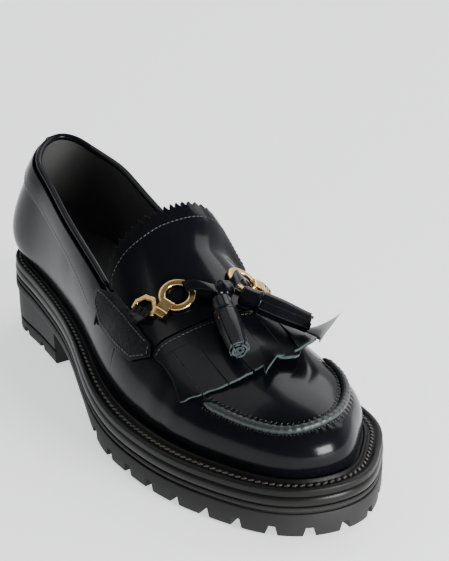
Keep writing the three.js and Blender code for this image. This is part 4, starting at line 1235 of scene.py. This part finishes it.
def frame_at(c, v, lift, turn=0.0):
    """Rows x, y, z and origin of a frame on the last, turned about its z."""
    z = skin_normal(c, v)
    x = unit(skin(c, v + 0.01) - skin(c, v - 0.01))
    y = unit(np.cross(z, x))
    x = unit(np.cross(y, z))
    cosine, sine = math.cos(turn), math.sin(turn)
    return np.stack([cosine * x + sine * y, cosine * y - sine * x, z, skin(c, v, lift)])


def placed(local, points):
    points = np.asarray(points, float)
    return points @ local[:3] + local[3]


def hardware_frame(side, column, cross, lift):
    turn = side * -(math.pi / 2 + LEAN)
    return frame_at(column, side * cross, lift, turn)


def cross_from(c, v, distance):
    """Cross share a distance farther from the crest along a column."""
    w = v + np.sign(v) * np.arange(0, 0.5, 0.001)
    p = skin(c, w)
    run = run_along(p)
    return float(np.interp(distance, run, w))


def along_strap(side, distance):
    column = HARDWARE_COLUMN - math.sin(LEAN) * distance / COLUMN_RUN
    return column, abs(cross_from(column, side * RING_CROSS, distance * math.cos(LEAN)))


print("ring centre", placed(hardware_frame(-1, HARDWARE_COLUMN, RING_CROSS, METAL_UP), [[0, 0, 0]]).round(1))

# %% [markdown]
# ## Rings
# A flat ring with rounded edges, cast in one piece. The lathe profile is a rounded rectangle.

# %% Rings
def make_ring(side, name):
    local = hardware_frame(side, HARDWARE_COLUMN, RING_CROSS, METAL_UP)
    corner, steps = 0.75, 5
    profile = []
    for ci, (r, z) in enumerate([(RING_RADIUS - corner, RING_THICK - corner),
                                 (RING_RADIUS - RING_WIDTH + corner, RING_THICK - corner),
                                 (RING_RADIUS - RING_WIDTH + corner, corner),
                                 (RING_RADIUS - corner, corner)]):
        for k in range(steps):
            a = math.pi / 2 * (ci + k / (steps - 1))
            profile.append((r + corner * math.cos(a), z + corner * math.sin(a)))
    profile = np.array(profile)
    a = 2 * np.pi * np.arange(96) / 96
    ring = np.stack([profile[None, :, 0] * np.cos(a)[:, None], profile[None, :, 0] * np.sin(a)[:, None],
                     profile[None, :, 1] + 0 * a[:, None]], -1)
    return swept(f"ring_{name}_cast", placed(local, ring), [gold], "gold_metal", closed=True,
                 replaces=[f"ring_{name}"])


for side, name in SIDES:
    make_ring(side, name)
print("rings done")

# %% [markdown]
# ## Dees and clasps
# The dee is a cast bracket. Its body lies beside the ring, and its two arms hold the leather
# tab. A square plate folds over the ring and keeps both together.

# %% Dees and clasps
def prism(outline, low, high, hole=None):
    """Points and faces of a plate with an outline and a hole of as many corners."""
    n = len(outline)
    rings = [[(x, y, z) for x, y in shape] for shape in (outline, hole or []) for z in (low, high)]
    points = [p for ring in rings for p in ring]
    faces = [(k, (k + 1) % n, n + (k + 1) % n, n + k) for k in range(n)]
    if hole is None:
        return points, faces + [tuple(range(n))[::-1], tuple(range(n, 2 * n))]
    for k in range(n):
        q = (k + 1) % n
        faces.append((2 * n + q, 2 * n + k, 3 * n + k, 3 * n + q))
        faces.append((n + k, n + q, 3 * n + q, 3 * n + k))
        faces.append((q, k, 2 * n + k, 2 * n + q))
    return points, faces


def make_dee(side, name):
    w, h = DEE_WIDTH / 2, DEE_LENGTH / 2
    n = w * 0.42
    foot_y = -h - DEE_BAR * 0.6
    outline = [(n, foot_y), (w, -h * 0.2), (w, h), (-w, h), (-w, -h * 0.2), (-n, foot_y)]
    hole = [(n * 0.7, -h + DEE_BAR * 0.7), (w - DEE_BAR, h * 0.1), (w - DEE_BAR, h - DEE_BAR * 0.8),
            (-w + DEE_BAR, h - DEE_BAR * 0.8), (-w + DEE_BAR, h * 0.1), (-n * 0.7, -h + DEE_BAR * 0.7)]
    middle = along_strap(side, DEE_MIDDLE)
    points, faces = prism(outline, 0, DEE_BAR * 0.9, hole)
    points = list(placed(hardware_frame(side, *middle, METAL_UP), points))
    piece(f"dee_{name}_cast", points, faces, [gold], "gold_metal", replaces=[f"dee_{name}"], bevel=0.55)
    local = hardware_frame(side, HARDWARE_COLUMN, RING_CROSS, METAL_UP)
    top = RING_THICK + GAP
    far = POST_AT + DEE_BAR / 2
    path = [(far, 0.2), (far, top - 0.1), (far - 0.3, top + 0.35), (far - 0.8, top + 0.6),
            (far - 4.0, top + 0.6), (far - 5.0, top + 0.55), (far - 5.5, top + 0.2), (far - 5.65, top - 0.5)]
    path = np.array(path)
    s = np.linspace(0, 1, len(path))
    q = np.linspace(0, 1, 28)
    line = np.stack([np.interp(q, s, path[:, 0]), np.interp(q, s, path[:, 1])], -1)
    ahead = unit(np.gradient(line, axis=0))
    out = np.stack([ahead[:, 1], -ahead[:, 0]], -1)
    x = np.linspace(-CLASP_WIDTH / 2, CLASP_WIDTH / 2, 5)
    grids = []
    for over in (-0.45, 0.55):
        p = line + out * over
        grids.append(placed(local, np.stack([x[None] + 0 * p[:, :1], p[:, :1] + 0 * x[None],
                                             p[:, 1:] + 0 * x[None]], -1)))
    sheets(f"clasp_{name}", [tuple(grids)], [gold], "gold_metal", bevel=0.3)
    points, faces = [], []
    for k in range(3):
        y = far + 0.9 + 0.95 * k
        p, f = prism([(-2.6, y - 0.38), (2.6, y - 0.38), (2.6, y + 0.38), (-2.6, y + 0.38)], 0.1, 2.2)
        faces += [tuple(len(points) + i for i in face) for face in f]
        points += list(placed(local, p))
    piece(f"neck_{name}", points, faces, [gold], "gold_metal", bevel=0.25)


for side, name in SIDES:
    make_dee(side, name)
print("dees done")

# %% [markdown]
# ## Leather tabs
# A short strap comes out of the saddle's slot and rises onto the dee's bar. Its face is
# creased into a few ribs where it is pulled between the arms.

# %% Leather tabs
def make_tab(side, name):
    half = DEE_WIDTH / 2 - DEE_BAR - GAP
    bar = DEE_LENGTH / 2
    tail = bar + TAB_LENGTH
    middle = along_strap(side, DEE_MIDDLE)
    plane = hardware_frame(side, *middle, METAL_UP + DEE_BAR * 0.9 + GAP)
    runs = np.linspace(tail, bar - DEE_BAR, 36)
    x = np.linspace(half, -half, 33)
    ribs = 0.22 * np.cos(2 * np.pi * x / 2.9)
    grids = []
    for over in (0, STRAP_THICK):
        rows = []
        for run in runs:
            column, cross = along_strap(side, DEE_MIDDLE + run)
            relief = ribs * (over > 0) * smooth(run, tail, tail - 2.5)
            low = skin(column + side * x / COLUMN_RUN, side * cross, METAL_LIFT + over + relief)
            high = placed(plane, np.stack([x, run + 0 * x, over + relief], -1))
            rows.append(mix(high, low, smooth(run, bar + 2, bar + 4.4)))
        grids.append(np.stack(rows))
    return sheets(f"tab_{name}_strap", [tuple(grids)], [saddle_leather], "grained_leather",
                  bevel=0.4, replaces=[f"tab_{name}"])


for side, name in SIDES:
    make_tab(side, name)
print("tabs done")

# %% [markdown]
# ## Bow
# A narrow strap runs over both rings and is tied in the middle. The knot is a wrapped band with
# soft folds, and each loop is a strap arched from the knot out toward its ring.

# %% Bow
KNOT_WIDTH, KNOT_LENGTH, KNOT_HEIGHT = 11, 9, 6


def make_bow():
    local = frame_at(KNOT_COLUMN, 0, METAL_LIFT)
    count, around = 40, 36
    s = np.linspace(-1, 1, count)[:, None]
    w = 2 * np.pi * np.arange(around)[None] / around
    size = (1 - np.abs(s) ** 3.2) ** 0.5 * 0.93 + 0.04
    folds = 1 + 0.05 * np.cos(s * 9.0 + 0.6 * np.sin(w))
    band_part = 1 + 0.14 * np.exp(-(s / 0.38) ** 4)
    r = size * folds * band_part
    sections = np.stack([
        s * KNOT_WIDTH / 2 + 0 * w,
        np.cos(w) * KNOT_LENGTH / 2 * r * 0.94,
        (1 + np.sin(w) * r * 0.94) * KNOT_HEIGHT / 2 + KNOT_HEIGHT * 0.12,
    ], -1)
    swept("bow_tie", placed(local, sections), [box_leather], "polished_leather", replaces=["bow_knot"])
    loop_far = abs(cross_from(HARDWARE_COLUMN, 0.001, KNOT_WIDTH / 2)) + 0.1
    low = METAL_UP + RING_THICK + 1.0
    grids = []
    for side in (-1, 1):
        s, w = np.meshgrid(np.linspace(0, 1, 30), np.linspace(-1, 1, 9), indexing="ij")
        v = mix(0.03, loop_far, s)
        c = mix(KNOT_COLUMN, HARDWARE_COLUMN, s * s * (3 - 2 * s))
        width = STRAP_WIDTH / 2 / COLUMN_RUN * (0.82 + 0.18 * s)
        rise = low + 1.6 * np.sin(np.pi * np.clip(s, 0, 1)) * (1 - 0.2 * w * w)
        grids.append(tuple(skin(c + w * width, side * v, rise + over) for over in (0, STRAP_THICK)))
    return sheets("bow_loops", grids, [box_leather], "polished_leather", bevel=0.5)


make_bow()
print("bow done")

# %% [markdown]
# ## Tassels
# A tassel is a rolled piece of fringed leather with a smooth cap drawn over it. The strips are
# laid in two rings round a rolled core, whose spiral shows at the end.

# %% Tassels
TASSEL_RADIUS, TASSEL_CAP, STRIP_THICK = 5.8, 10.5, 1.2
TASSELS = (
    ("tassel_1", (-0.062, 0.107), (0.3590, -0.187, 0.142)),
    ("tassel_2", (0.066, 0.122), (0.3380, 0.395, 0.168)),
)


def tassel_frame(start, end):
    """Rows x, y, z and origin with z along the tassel, x level, and its length."""
    column = KNOT_COLUMN + (KNOT_LENGTH / 2 + GAP) / COLUMN_RUN
    a = skin(column, start[0], start[1] * INSTEP_HEIGHT)
    b = skin(end[0], end[1], end[2] * INSTEP_HEIGHT)
    z = unit(b - a)
    x = unit(np.cross(z, [0, 0, 1.0]))
    return np.stack([x, np.cross(z, x), z, a]), float(np.linalg.norm(b - a))


def lathe(local, profile, around, twist=0.0):
    r, z = np.array(profile).T
    w = 2 * np.pi * np.arange(around) / around
    ring = np.stack([r[:, None] * np.cos(w + twist), r[:, None] * np.sin(w + twist),
                     z[:, None] + 0 * w], -1)
    return placed(local, ring)


def make_tassel(name, start, end):
    local, length = tassel_frame(start, end)
    r = TASSEL_RADIUS
    profile = [(0.3, -0.1), (2.4, 0.0), (3.9, 0.35), (4.55, 1.1), (4.75, 2.2), (4.8, 4.0), (4.85, 6.0),
               (4.95, 8.0), (5.05, 8.7), (5.4, 9.0), (5.65, 9.4), (5.7, 9.9), (5.55, 10.4), (5.1, 10.6),
               (4.6, 10.6)]
    fine = np.linspace(0, 1, 60)
    s = np.linspace(0, 1, len(profile))
    smooth_profile = np.stack([np.interp(fine, s, [p[k] for p in profile]) for k in (0, 1)], -1)
    swept(f"{name}_cap", lathe(local, smooth_profile, 40), [box_leather], "polished_leather",
          replaces=[name])
    grids = []
    layers = ((9, r - STRIP_THICK, 0.86, 0.0), (6, r - 2 * STRIP_THICK - 0.25, 0.93, 0.35))
    for layer, (strips, inner, taper, turn) in enumerate(layers):
        step = 2 * math.pi / strips
        for k in range(strips):
            gap = 0.14 / inner * 2
            tilt = 0.10 * math.sin(2.4 * k + 1.3 * layer)
            reach = length - 0.6 - 1.1 * abs(math.sin(1.7 * k + layer)) + 0.9 * layer
            f, w = np.meshgrid(np.linspace(0, 1, 26), np.linspace(0, 1, 7), indexing="ij")
            angle = turn + k * step + mix(gap / 2, step - gap / 2, w) + tilt * f * f
            z = mix(TASSEL_CAP - 1.5, reach, f)
            belly = 1 - (1 - taper) * smooth(f, 0.35, 1.0) - 0.10 * smooth(f, 0.12, 0.0)
            flat = 1 - 0.035 * (1 - (2 * w - 1) ** 2) * strips / 9
            pair = []
            for over in (0, STRIP_THICK * 0.92):
                radius = (inner + over) * belly * flat
                pair.append(placed(local, np.stack([radius * np.cos(angle), radius * np.sin(angle), z], -1)))
            grids.append(tuple(pair))
    a = np.linspace(0, 4.6 * math.pi, 90)
    roll = 0.45 + (r - 3 * STRIP_THICK - 0.5) * a / a[-1]
    line = np.stack([roll * np.cos(a), roll * np.sin(a)], -1)
    out = line / np.linalg.norm(line, axis=1, keepdims=True)
    z = np.linspace(TASSEL_CAP - 1, length - 0.4, 6)
    pair = []
    for over in (0, 0.55):
        p = line + out * over
        pair.append(placed(local, np.stack([p[:, :1] + 0 * z, p[:, 1:] + 0 * z, z + 0 * p[:, :1]], -1)))
    grids.append(tuple(pair))
    return sheets(f"{name}_strips", grids, [fringe_leather, cut_edge], "polished_leather", bevel=0.2)


for row in TASSELS:
    make_tassel(*row)
print("tassels done")

# %% [markdown]
# ## Insole
# The sock lining covers the whole bed. It is padded, so its edge rounds down to the wall.

# %% Insole
INSOLE_THICK = 3.2
STATIONS = 320
WAY = np.arange(STATIONS) / STATIONS


def outline_ring(edge, height, inward=0):
    x, y = sole_outline(WAY, edge, inward)
    return np.stack([x, y, height(x) + 0 * x], -1)


def stacked(name, rings, finish, slot, **more):
    """Stack of closed outlines, capped at both ends by rungs from side to side."""
    return piece(name, np.stack(rings), stack_faces(len(rings), STATIONS, 0), [finish], slot, **more)


inset = WALL + GAP + 0.6
insole_rings = [outline_ring(0, lambda x, s=s: foot_height(x) + s * INSOLE_THICK, inset + d)
                for s, d in ((0, 0), (0.6, 0), (0.85, 0.25), (0.97, 0.8), (1.0, 1.6))]
stacked("insole_sock", insole_rings, lining, "lining_leather", replaces=["insole"])
print("insole done")

# %% [markdown]
# ## Welt
# The welt is a moulded strip with a bead against the upper, a channel with a heavy lockstitch,
# and a raised lip outside it.

# %% Welt
WELT_THICK, WELT_EDGE, WELT_INNER = 3.6, 9.8, 6


def welt_top(x):
    return foot_height(x) - GAP


def make_welt():
    profile = [
        (0.00, WELT_INNER, 0.0), (0.10, 0, -0.05), (0.13, 0, -0.55), (0.17, 0, -0.95), (0.22, 0, -0.95),
        (0.26, 0, -0.5), (0.29, 0, 0.25), (0.32, 0, 0.75), (0.36, 0, 0.80), (0.50, 0, 0.80), (0.64, 0, 0.80),
        (0.69, 0, 0.65), (0.73, 0, 0.15), (0.78, 0, -0.1), (0.86, 0, -0.08), (0.94, 0, 0.15), (0.98, 0, 0.5),
        (1.00, 0, 1.1), (1.00, 0, 2.2), (0.985, 0, WELT_THICK), (0.00, WELT_INNER, WELT_THICK),
    ]
    rings = [outline_ring(WELT_EDGE * edge, lambda x, d=drop: welt_top(x) - d, inward)
             for edge, inward, drop in profile]
    sections = np.stack(rings, 1)
    swept("welt_strip", sections, [welt_rubber], "rubber", closed=True, replaces=["welt"])
    line = outline_ring(WELT_EDGE * 0.50, lambda x: welt_top(x) - 0.62)
    line = np.concatenate([line, line[:1]])
    up = np.array([0, 0, 1.0]) + 0 * line
    seam("welt_stitches", [(line, up)], 3.3, 2.7, 0.75, welt_thread, tilt=0.45, slot="rubber")


welt_thread = waxed_thread("welt_thread", (0.022, 0.019, 0.015), (0.075, 0.066, 0.055))
make_welt()
print("welt done")

# %% [markdown]
# ## Midsole and outsole
# The midsole shows as a rounded band. Under it the outsole's wall has a ledge and a groove, and
# its lower edge is notched between the lugs. The notches are cut out of the finished block.

# %% Midsole
MIDSOLE_THICK, SLAB_THICK, GROOVE_DEPTH, TOE_SPRING = 5.0, 7.5, 1.3, 1.4


def mid_top(x):
    return welt_top(x) - WELT_THICK - GAP


def out_top(x):
    return mid_top(x) - MIDSOLE_THICK - GAP


def make_midsole():
    w = np.linspace(-0.5, 0.5, 13) * math.pi
    rings = [outline_ring(OUTSOLE_EDGE, lambda x, s=s: mix(mid_top(x) - MIDSOLE_THICK, mid_top(x), s), i)
             for s, i in zip(0.5 + 0.5 * np.sin(w), 1.5 * (1 - np.cos(w)))]
    return stacked("midsole_slab", rings, midsole_rubber, "rubber", replaces=["midsole"])


make_midsole()
print("midsole done")

# %% Outsole
LUG_DEPTH, NOTCH_WIDTH, NOTCH_REACH, NOTCH_PITCH = 5.0, 4.2, 9, 16.8
TREAD_START, TREAD_FULL = 0.47, 0.60
NOTCH_FOOT, NOTCH_TOP = 1.35, 0.8
BOX_CORNERS = ((-1, -1), (1, -1), (1, 1), (-1, 1))


def outsole_bottom(x):
    a = x / LAST_LENGTH
    spring = TOE_SPRING * np.clip((a - 0.74) / 0.26, 0, 1.2) ** 2
    return mix(out_top(x) - SLAB_THICK, spring, smooth(a, TREAD_START, TREAD_FULL))


def notch_shares(start, end, pitch):
    u = np.arange(start, end, 0.0005)
    x, y = foot(u, OUTSOLE_EDGE)
    run = pitch / 2 + np.concatenate([[0], np.cumsum(np.hypot(np.diff(x), np.diff(y)))])
    marks = np.arange(1, int(run[-1] / pitch) + 1) * pitch
    return np.interp(marks, run, u)


def trapezoid(u, reach, height, floor):
    """A block across the outline at share u, wider at its foot."""
    e = 1e-3
    (ax, ay), (bx, by) = foot(u - e), foot(u + e)
    turn = math.atan2(by - ay, bx - ax)
    x0 = foot(u)[0]
    x, y = foot(u, OUTSOLE_EDGE * edge_share(x0) - reach / 2 + 2)
    w = NOTCH_WIDTH / 2
    box = np.array([(sx * w * (NOTCH_FOOT if z == 0 else NOTCH_TOP), sy * (reach + 4) / 2, z)
                    for z in (0, 1) for sx, sy in BOX_CORNERS])
    box[:, 2] = floor - 3 + box[:, 2] * (height + 3)
    box[:4, 0] *= 1 + 0.6 * 3 / height
    c, s = math.cos(turn), math.sin(turn)
    return np.stack([box[:, 0] * c - box[:, 1] * s + x, box[:, 0] * s + box[:, 1] * c + y, box[:, 2]], -1)


BOX_FACES = [(3, 2, 1, 0), (4, 5, 6, 7), (0, 1, 5, 4), (1, 2, 6, 5), (2, 3, 7, 6), (3, 0, 4, 7)]


def cut_blocks(obj, blocks):
    """Takes the blocks out of a piece with one boolean."""
    points = np.concatenate(blocks)
    faces = [tuple(8 * k + i for i in f) for k in range(len(blocks)) for f in BOX_FACES]
    mesh = bpy.data.meshes.new("cutters")
    mesh.from_pydata(((points + SHIFT) * MM).tolist(), [], faces)
    cutter = bpy.data.objects.new("cutters", mesh)
    bpy.context.scene.collection.objects.link(cutter)
    cut = obj.modifiers.new("notches", "BOOLEAN")
    cut.object = cutter
    cut.solver = "EXACT"
    shaped = bpy.data.meshes.new_from_object(obj.evaluated_get(bpy.context.evaluated_depsgraph_get()))
    obj.modifiers.clear()
    obj.data = shaped
    bpy.data.objects.remove(cutter)
    obj.data.shade_smooth()
    obj.data.set_sharp_from_angle(angle=math.radians(40))


def make_outsole():
    side = [("bottom", 0.8, 0), ("bottom", 0.25, -0.35), ("bottom", 0, -1.0), ("top", 0, 3.6),
            ("top", 0.25, 3.15), ("top", GROOVE_DEPTH, 3.0), ("top", GROOVE_DEPTH, 1.8), ("top", 0.25, 1.6),
            ("top", 0.1, 1.3), ("top", 0.15, 0.5), ("top", 0.6, 0.0)]
    rings = []
    for start, inward, drop in side:
        base = out_top if start == "top" else outsole_bottom
        rings.append(outline_ring(OUTSOLE_EDGE, lambda x, b=base, d=drop: b(x) - d, inward))
    sole = stacked("outsole_block", rings, sole_rubber, "rubber", replaces=["outsole"])
    blocks = [trapezoid(u, NOTCH_REACH, LUG_DEPTH, outsole_bottom(foot(u)[0]))
              for u in notch_shares(0.25, 0.745, NOTCH_PITCH)]
    lug_length = NOTCH_PITCH * 1.05
    for k in range(6):
        x = LAST_LENGTH * 0.60 + k * lug_length
        low, high = -3.0, outsole_bottom(x) + LUG_DEPTH
        box = np.array([(x + sx * NOTCH_WIDTH / 2, sy * BALL_WIDTH * 0.26, z)
                        for z in (low, high) for sx, sy in BOX_CORNERS])
        blocks.append(box)
    cut_blocks(sole, blocks)
    return sole


make_outsole()
print("outsole done")

# %% [markdown]
# ## Heel block
# The heel follows the slab above it and stands flat on the floor, with a groove round its side
# and a few notches on its lower edge.

# %% Heel block
HEEL_LENGTH, HEEL_SET_IN = 60.5, 1.0


def make_heel():
    count = 120
    u = np.arange(0, 1, 0.0005)
    x = foot(u)[0]
    breast_a = u[np.argmax(x >= HEEL_LENGTH)]
    breast_b = u[::-1][np.argmax(x[::-1] >= HEEL_LENGTH)] - 1
    way = np.linspace(breast_b, breast_a, count + 1)

    def ring(inward, height):
        x0 = foot(way)[0]
        px, py = foot(way, OUTSOLE_EDGE * edge_share(x0) - HEEL_SET_IN - inward)
        return np.stack([px, py, height(px) + 0 * px], -1)

    levels = [(1.5, lambda x: 0 * x), (1.0, lambda x: 0 * x + 0.4), (0.85, lambda x: 0 * x + 1.2),
              (0.6, lambda x: 0 * x + 6.4), (0.8, lambda x: 0 * x + 6.7), (1.7, lambda x: 0 * x + 6.9),
              (1.7, lambda x: 0 * x + 8.1), (0.7, lambda x: 0 * x + 8.3), (0.4, lambda x: 0 * x + 8.7),
              (0, lambda x: out_top(x) - SLAB_THICK - GAP)]
    rings = np.stack([ring(*level) for level in levels])
    faces = stack_faces(len(levels), count + 1, -1)
    heel = piece("heel_cast", rings, faces, [sole_rubber], "rubber", replaces=["heel_block"])
    shares = (breast_a - 0.028, breast_a - 0.062, breast_b + 0.028, breast_b + 0.062)
    cut_blocks(heel, [trapezoid(np.mod(s, 1), 6, LUG_DEPTH * 0.8, 0.0) for s in shares])
    return heel


make_heel()
print("heel done")

# %% [markdown]
# ## Studio
# The floor is a pale sheet that fills the view and glows a little, as a lit studio sweep does. The
# sky is bright at the horizon and dark overhead and toward the camera, where the room is unlit.
# Soft boxes give the leather its streaks: one on the inner side, one behind and a small one at
# the toe.

# %% Studio
def stage_plane(name, size, place, finish, turn=(0, 0, 0)):
    mesh = bpy.data.meshes.new(name)
    h = size / 2
    mesh.from_pydata([(-h, -h, 0), (h, -h, 0), (h, h, 0), (-h, h, 0)], [], [(0, 1, 2, 3)])
    obj = bpy.data.objects.new(name, mesh)
    obj.location = place
    obj.rotation_euler = turn
    obj.data.materials.append(finish)
    bpy.context.scene.collection.objects.link(obj)
    return obj


def paper():
    f = Finish("paper")
    return f.surface(
        Base_Color=(0.93, 0.93, 0.932),
        Roughness=0.9,
        Emission_Color=(0.97, 0.98, 1.0),
        Emission_Strength=0.98,
    )


def area_light(name, place, look_at, size, power, tint=(1, 1, 1)):
    light = bpy.data.lights.new(name, "AREA")
    light.shape = "RECTANGLE"
    light.size, light.size_y = size
    light.energy = power
    light.color = tint
    obj = bpy.data.objects.new(name, light)
    obj.location = place
    obj.rotation_euler = (Vector(look_at) - Vector(place)).to_track_quat("-Z", "Y").to_euler()
    bpy.context.scene.collection.objects.link(obj)
    return obj


class Sky(Finish):
    """The world's nodes: a bright horizon under a dark ceiling, and a dark room by the camera."""

    def __init__(self, name):
        self.world = bpy.data.worlds.new(name)
        self.world.use_nodes = True
        self.tree = self.world.node_tree
        self.place = self.node("ShaderNodeTexCoord", output="Generated")


stage_plane("floor", 8, (0, 0, -0.0004), paper())
sky = Sky("sky")
height = sky.node("ShaderNodeSeparateXYZ", None, {0: sky.place}, "Z")
ahead = sky.node("ShaderNodeSeparateXYZ", None, {0: sky.place}, "X")
beside = sky.node("ShaderNodeSeparateXYZ", None, {0: sky.place}, "Y")
ROOM_AHEAD, ROOM_BESIDE = 0.816, -0.578
room = sky.step(ROOM_AHEAD * ahead + ROOM_BESIDE * beside, -0.45, 0.25)
ceiling = sky.step(height, 0.34, 0.62)
shade = 1 - (1 - ceiling) * (1 - room)
backdrop = sky.tree.nodes["Background"]
sky.feed(backdrop.inputs["Color"], sky.blend(shade, (1.05, 1.06, 1.08), (0.14, 0.145, 0.155)))
bpy.context.scene.world = sky.world


def softbox(name, azimuth, elevation, distance, size, radiance):
    """An area light in a direction from the shoe, as bright as a sheet of that radiance."""
    a, e = math.radians(azimuth), math.radians(elevation)
    place = Vector((math.cos(a) * math.cos(e), math.sin(a) * math.cos(e), math.sin(e))) * distance
    return area_light(name, place, (0, 0, 0.04), size, radiance * math.pi * size[0] * size[1])


softbox("inner_side", 100, 44, 1.7, (1.5, 0.85), 4.0)
softbox("back", -165, 58, 1.9, (1.6, 0.9), 1.7)
softbox("toe_window", 10, 15, 1.1, (0.44, 0.36), 44.0)
print("studio done")
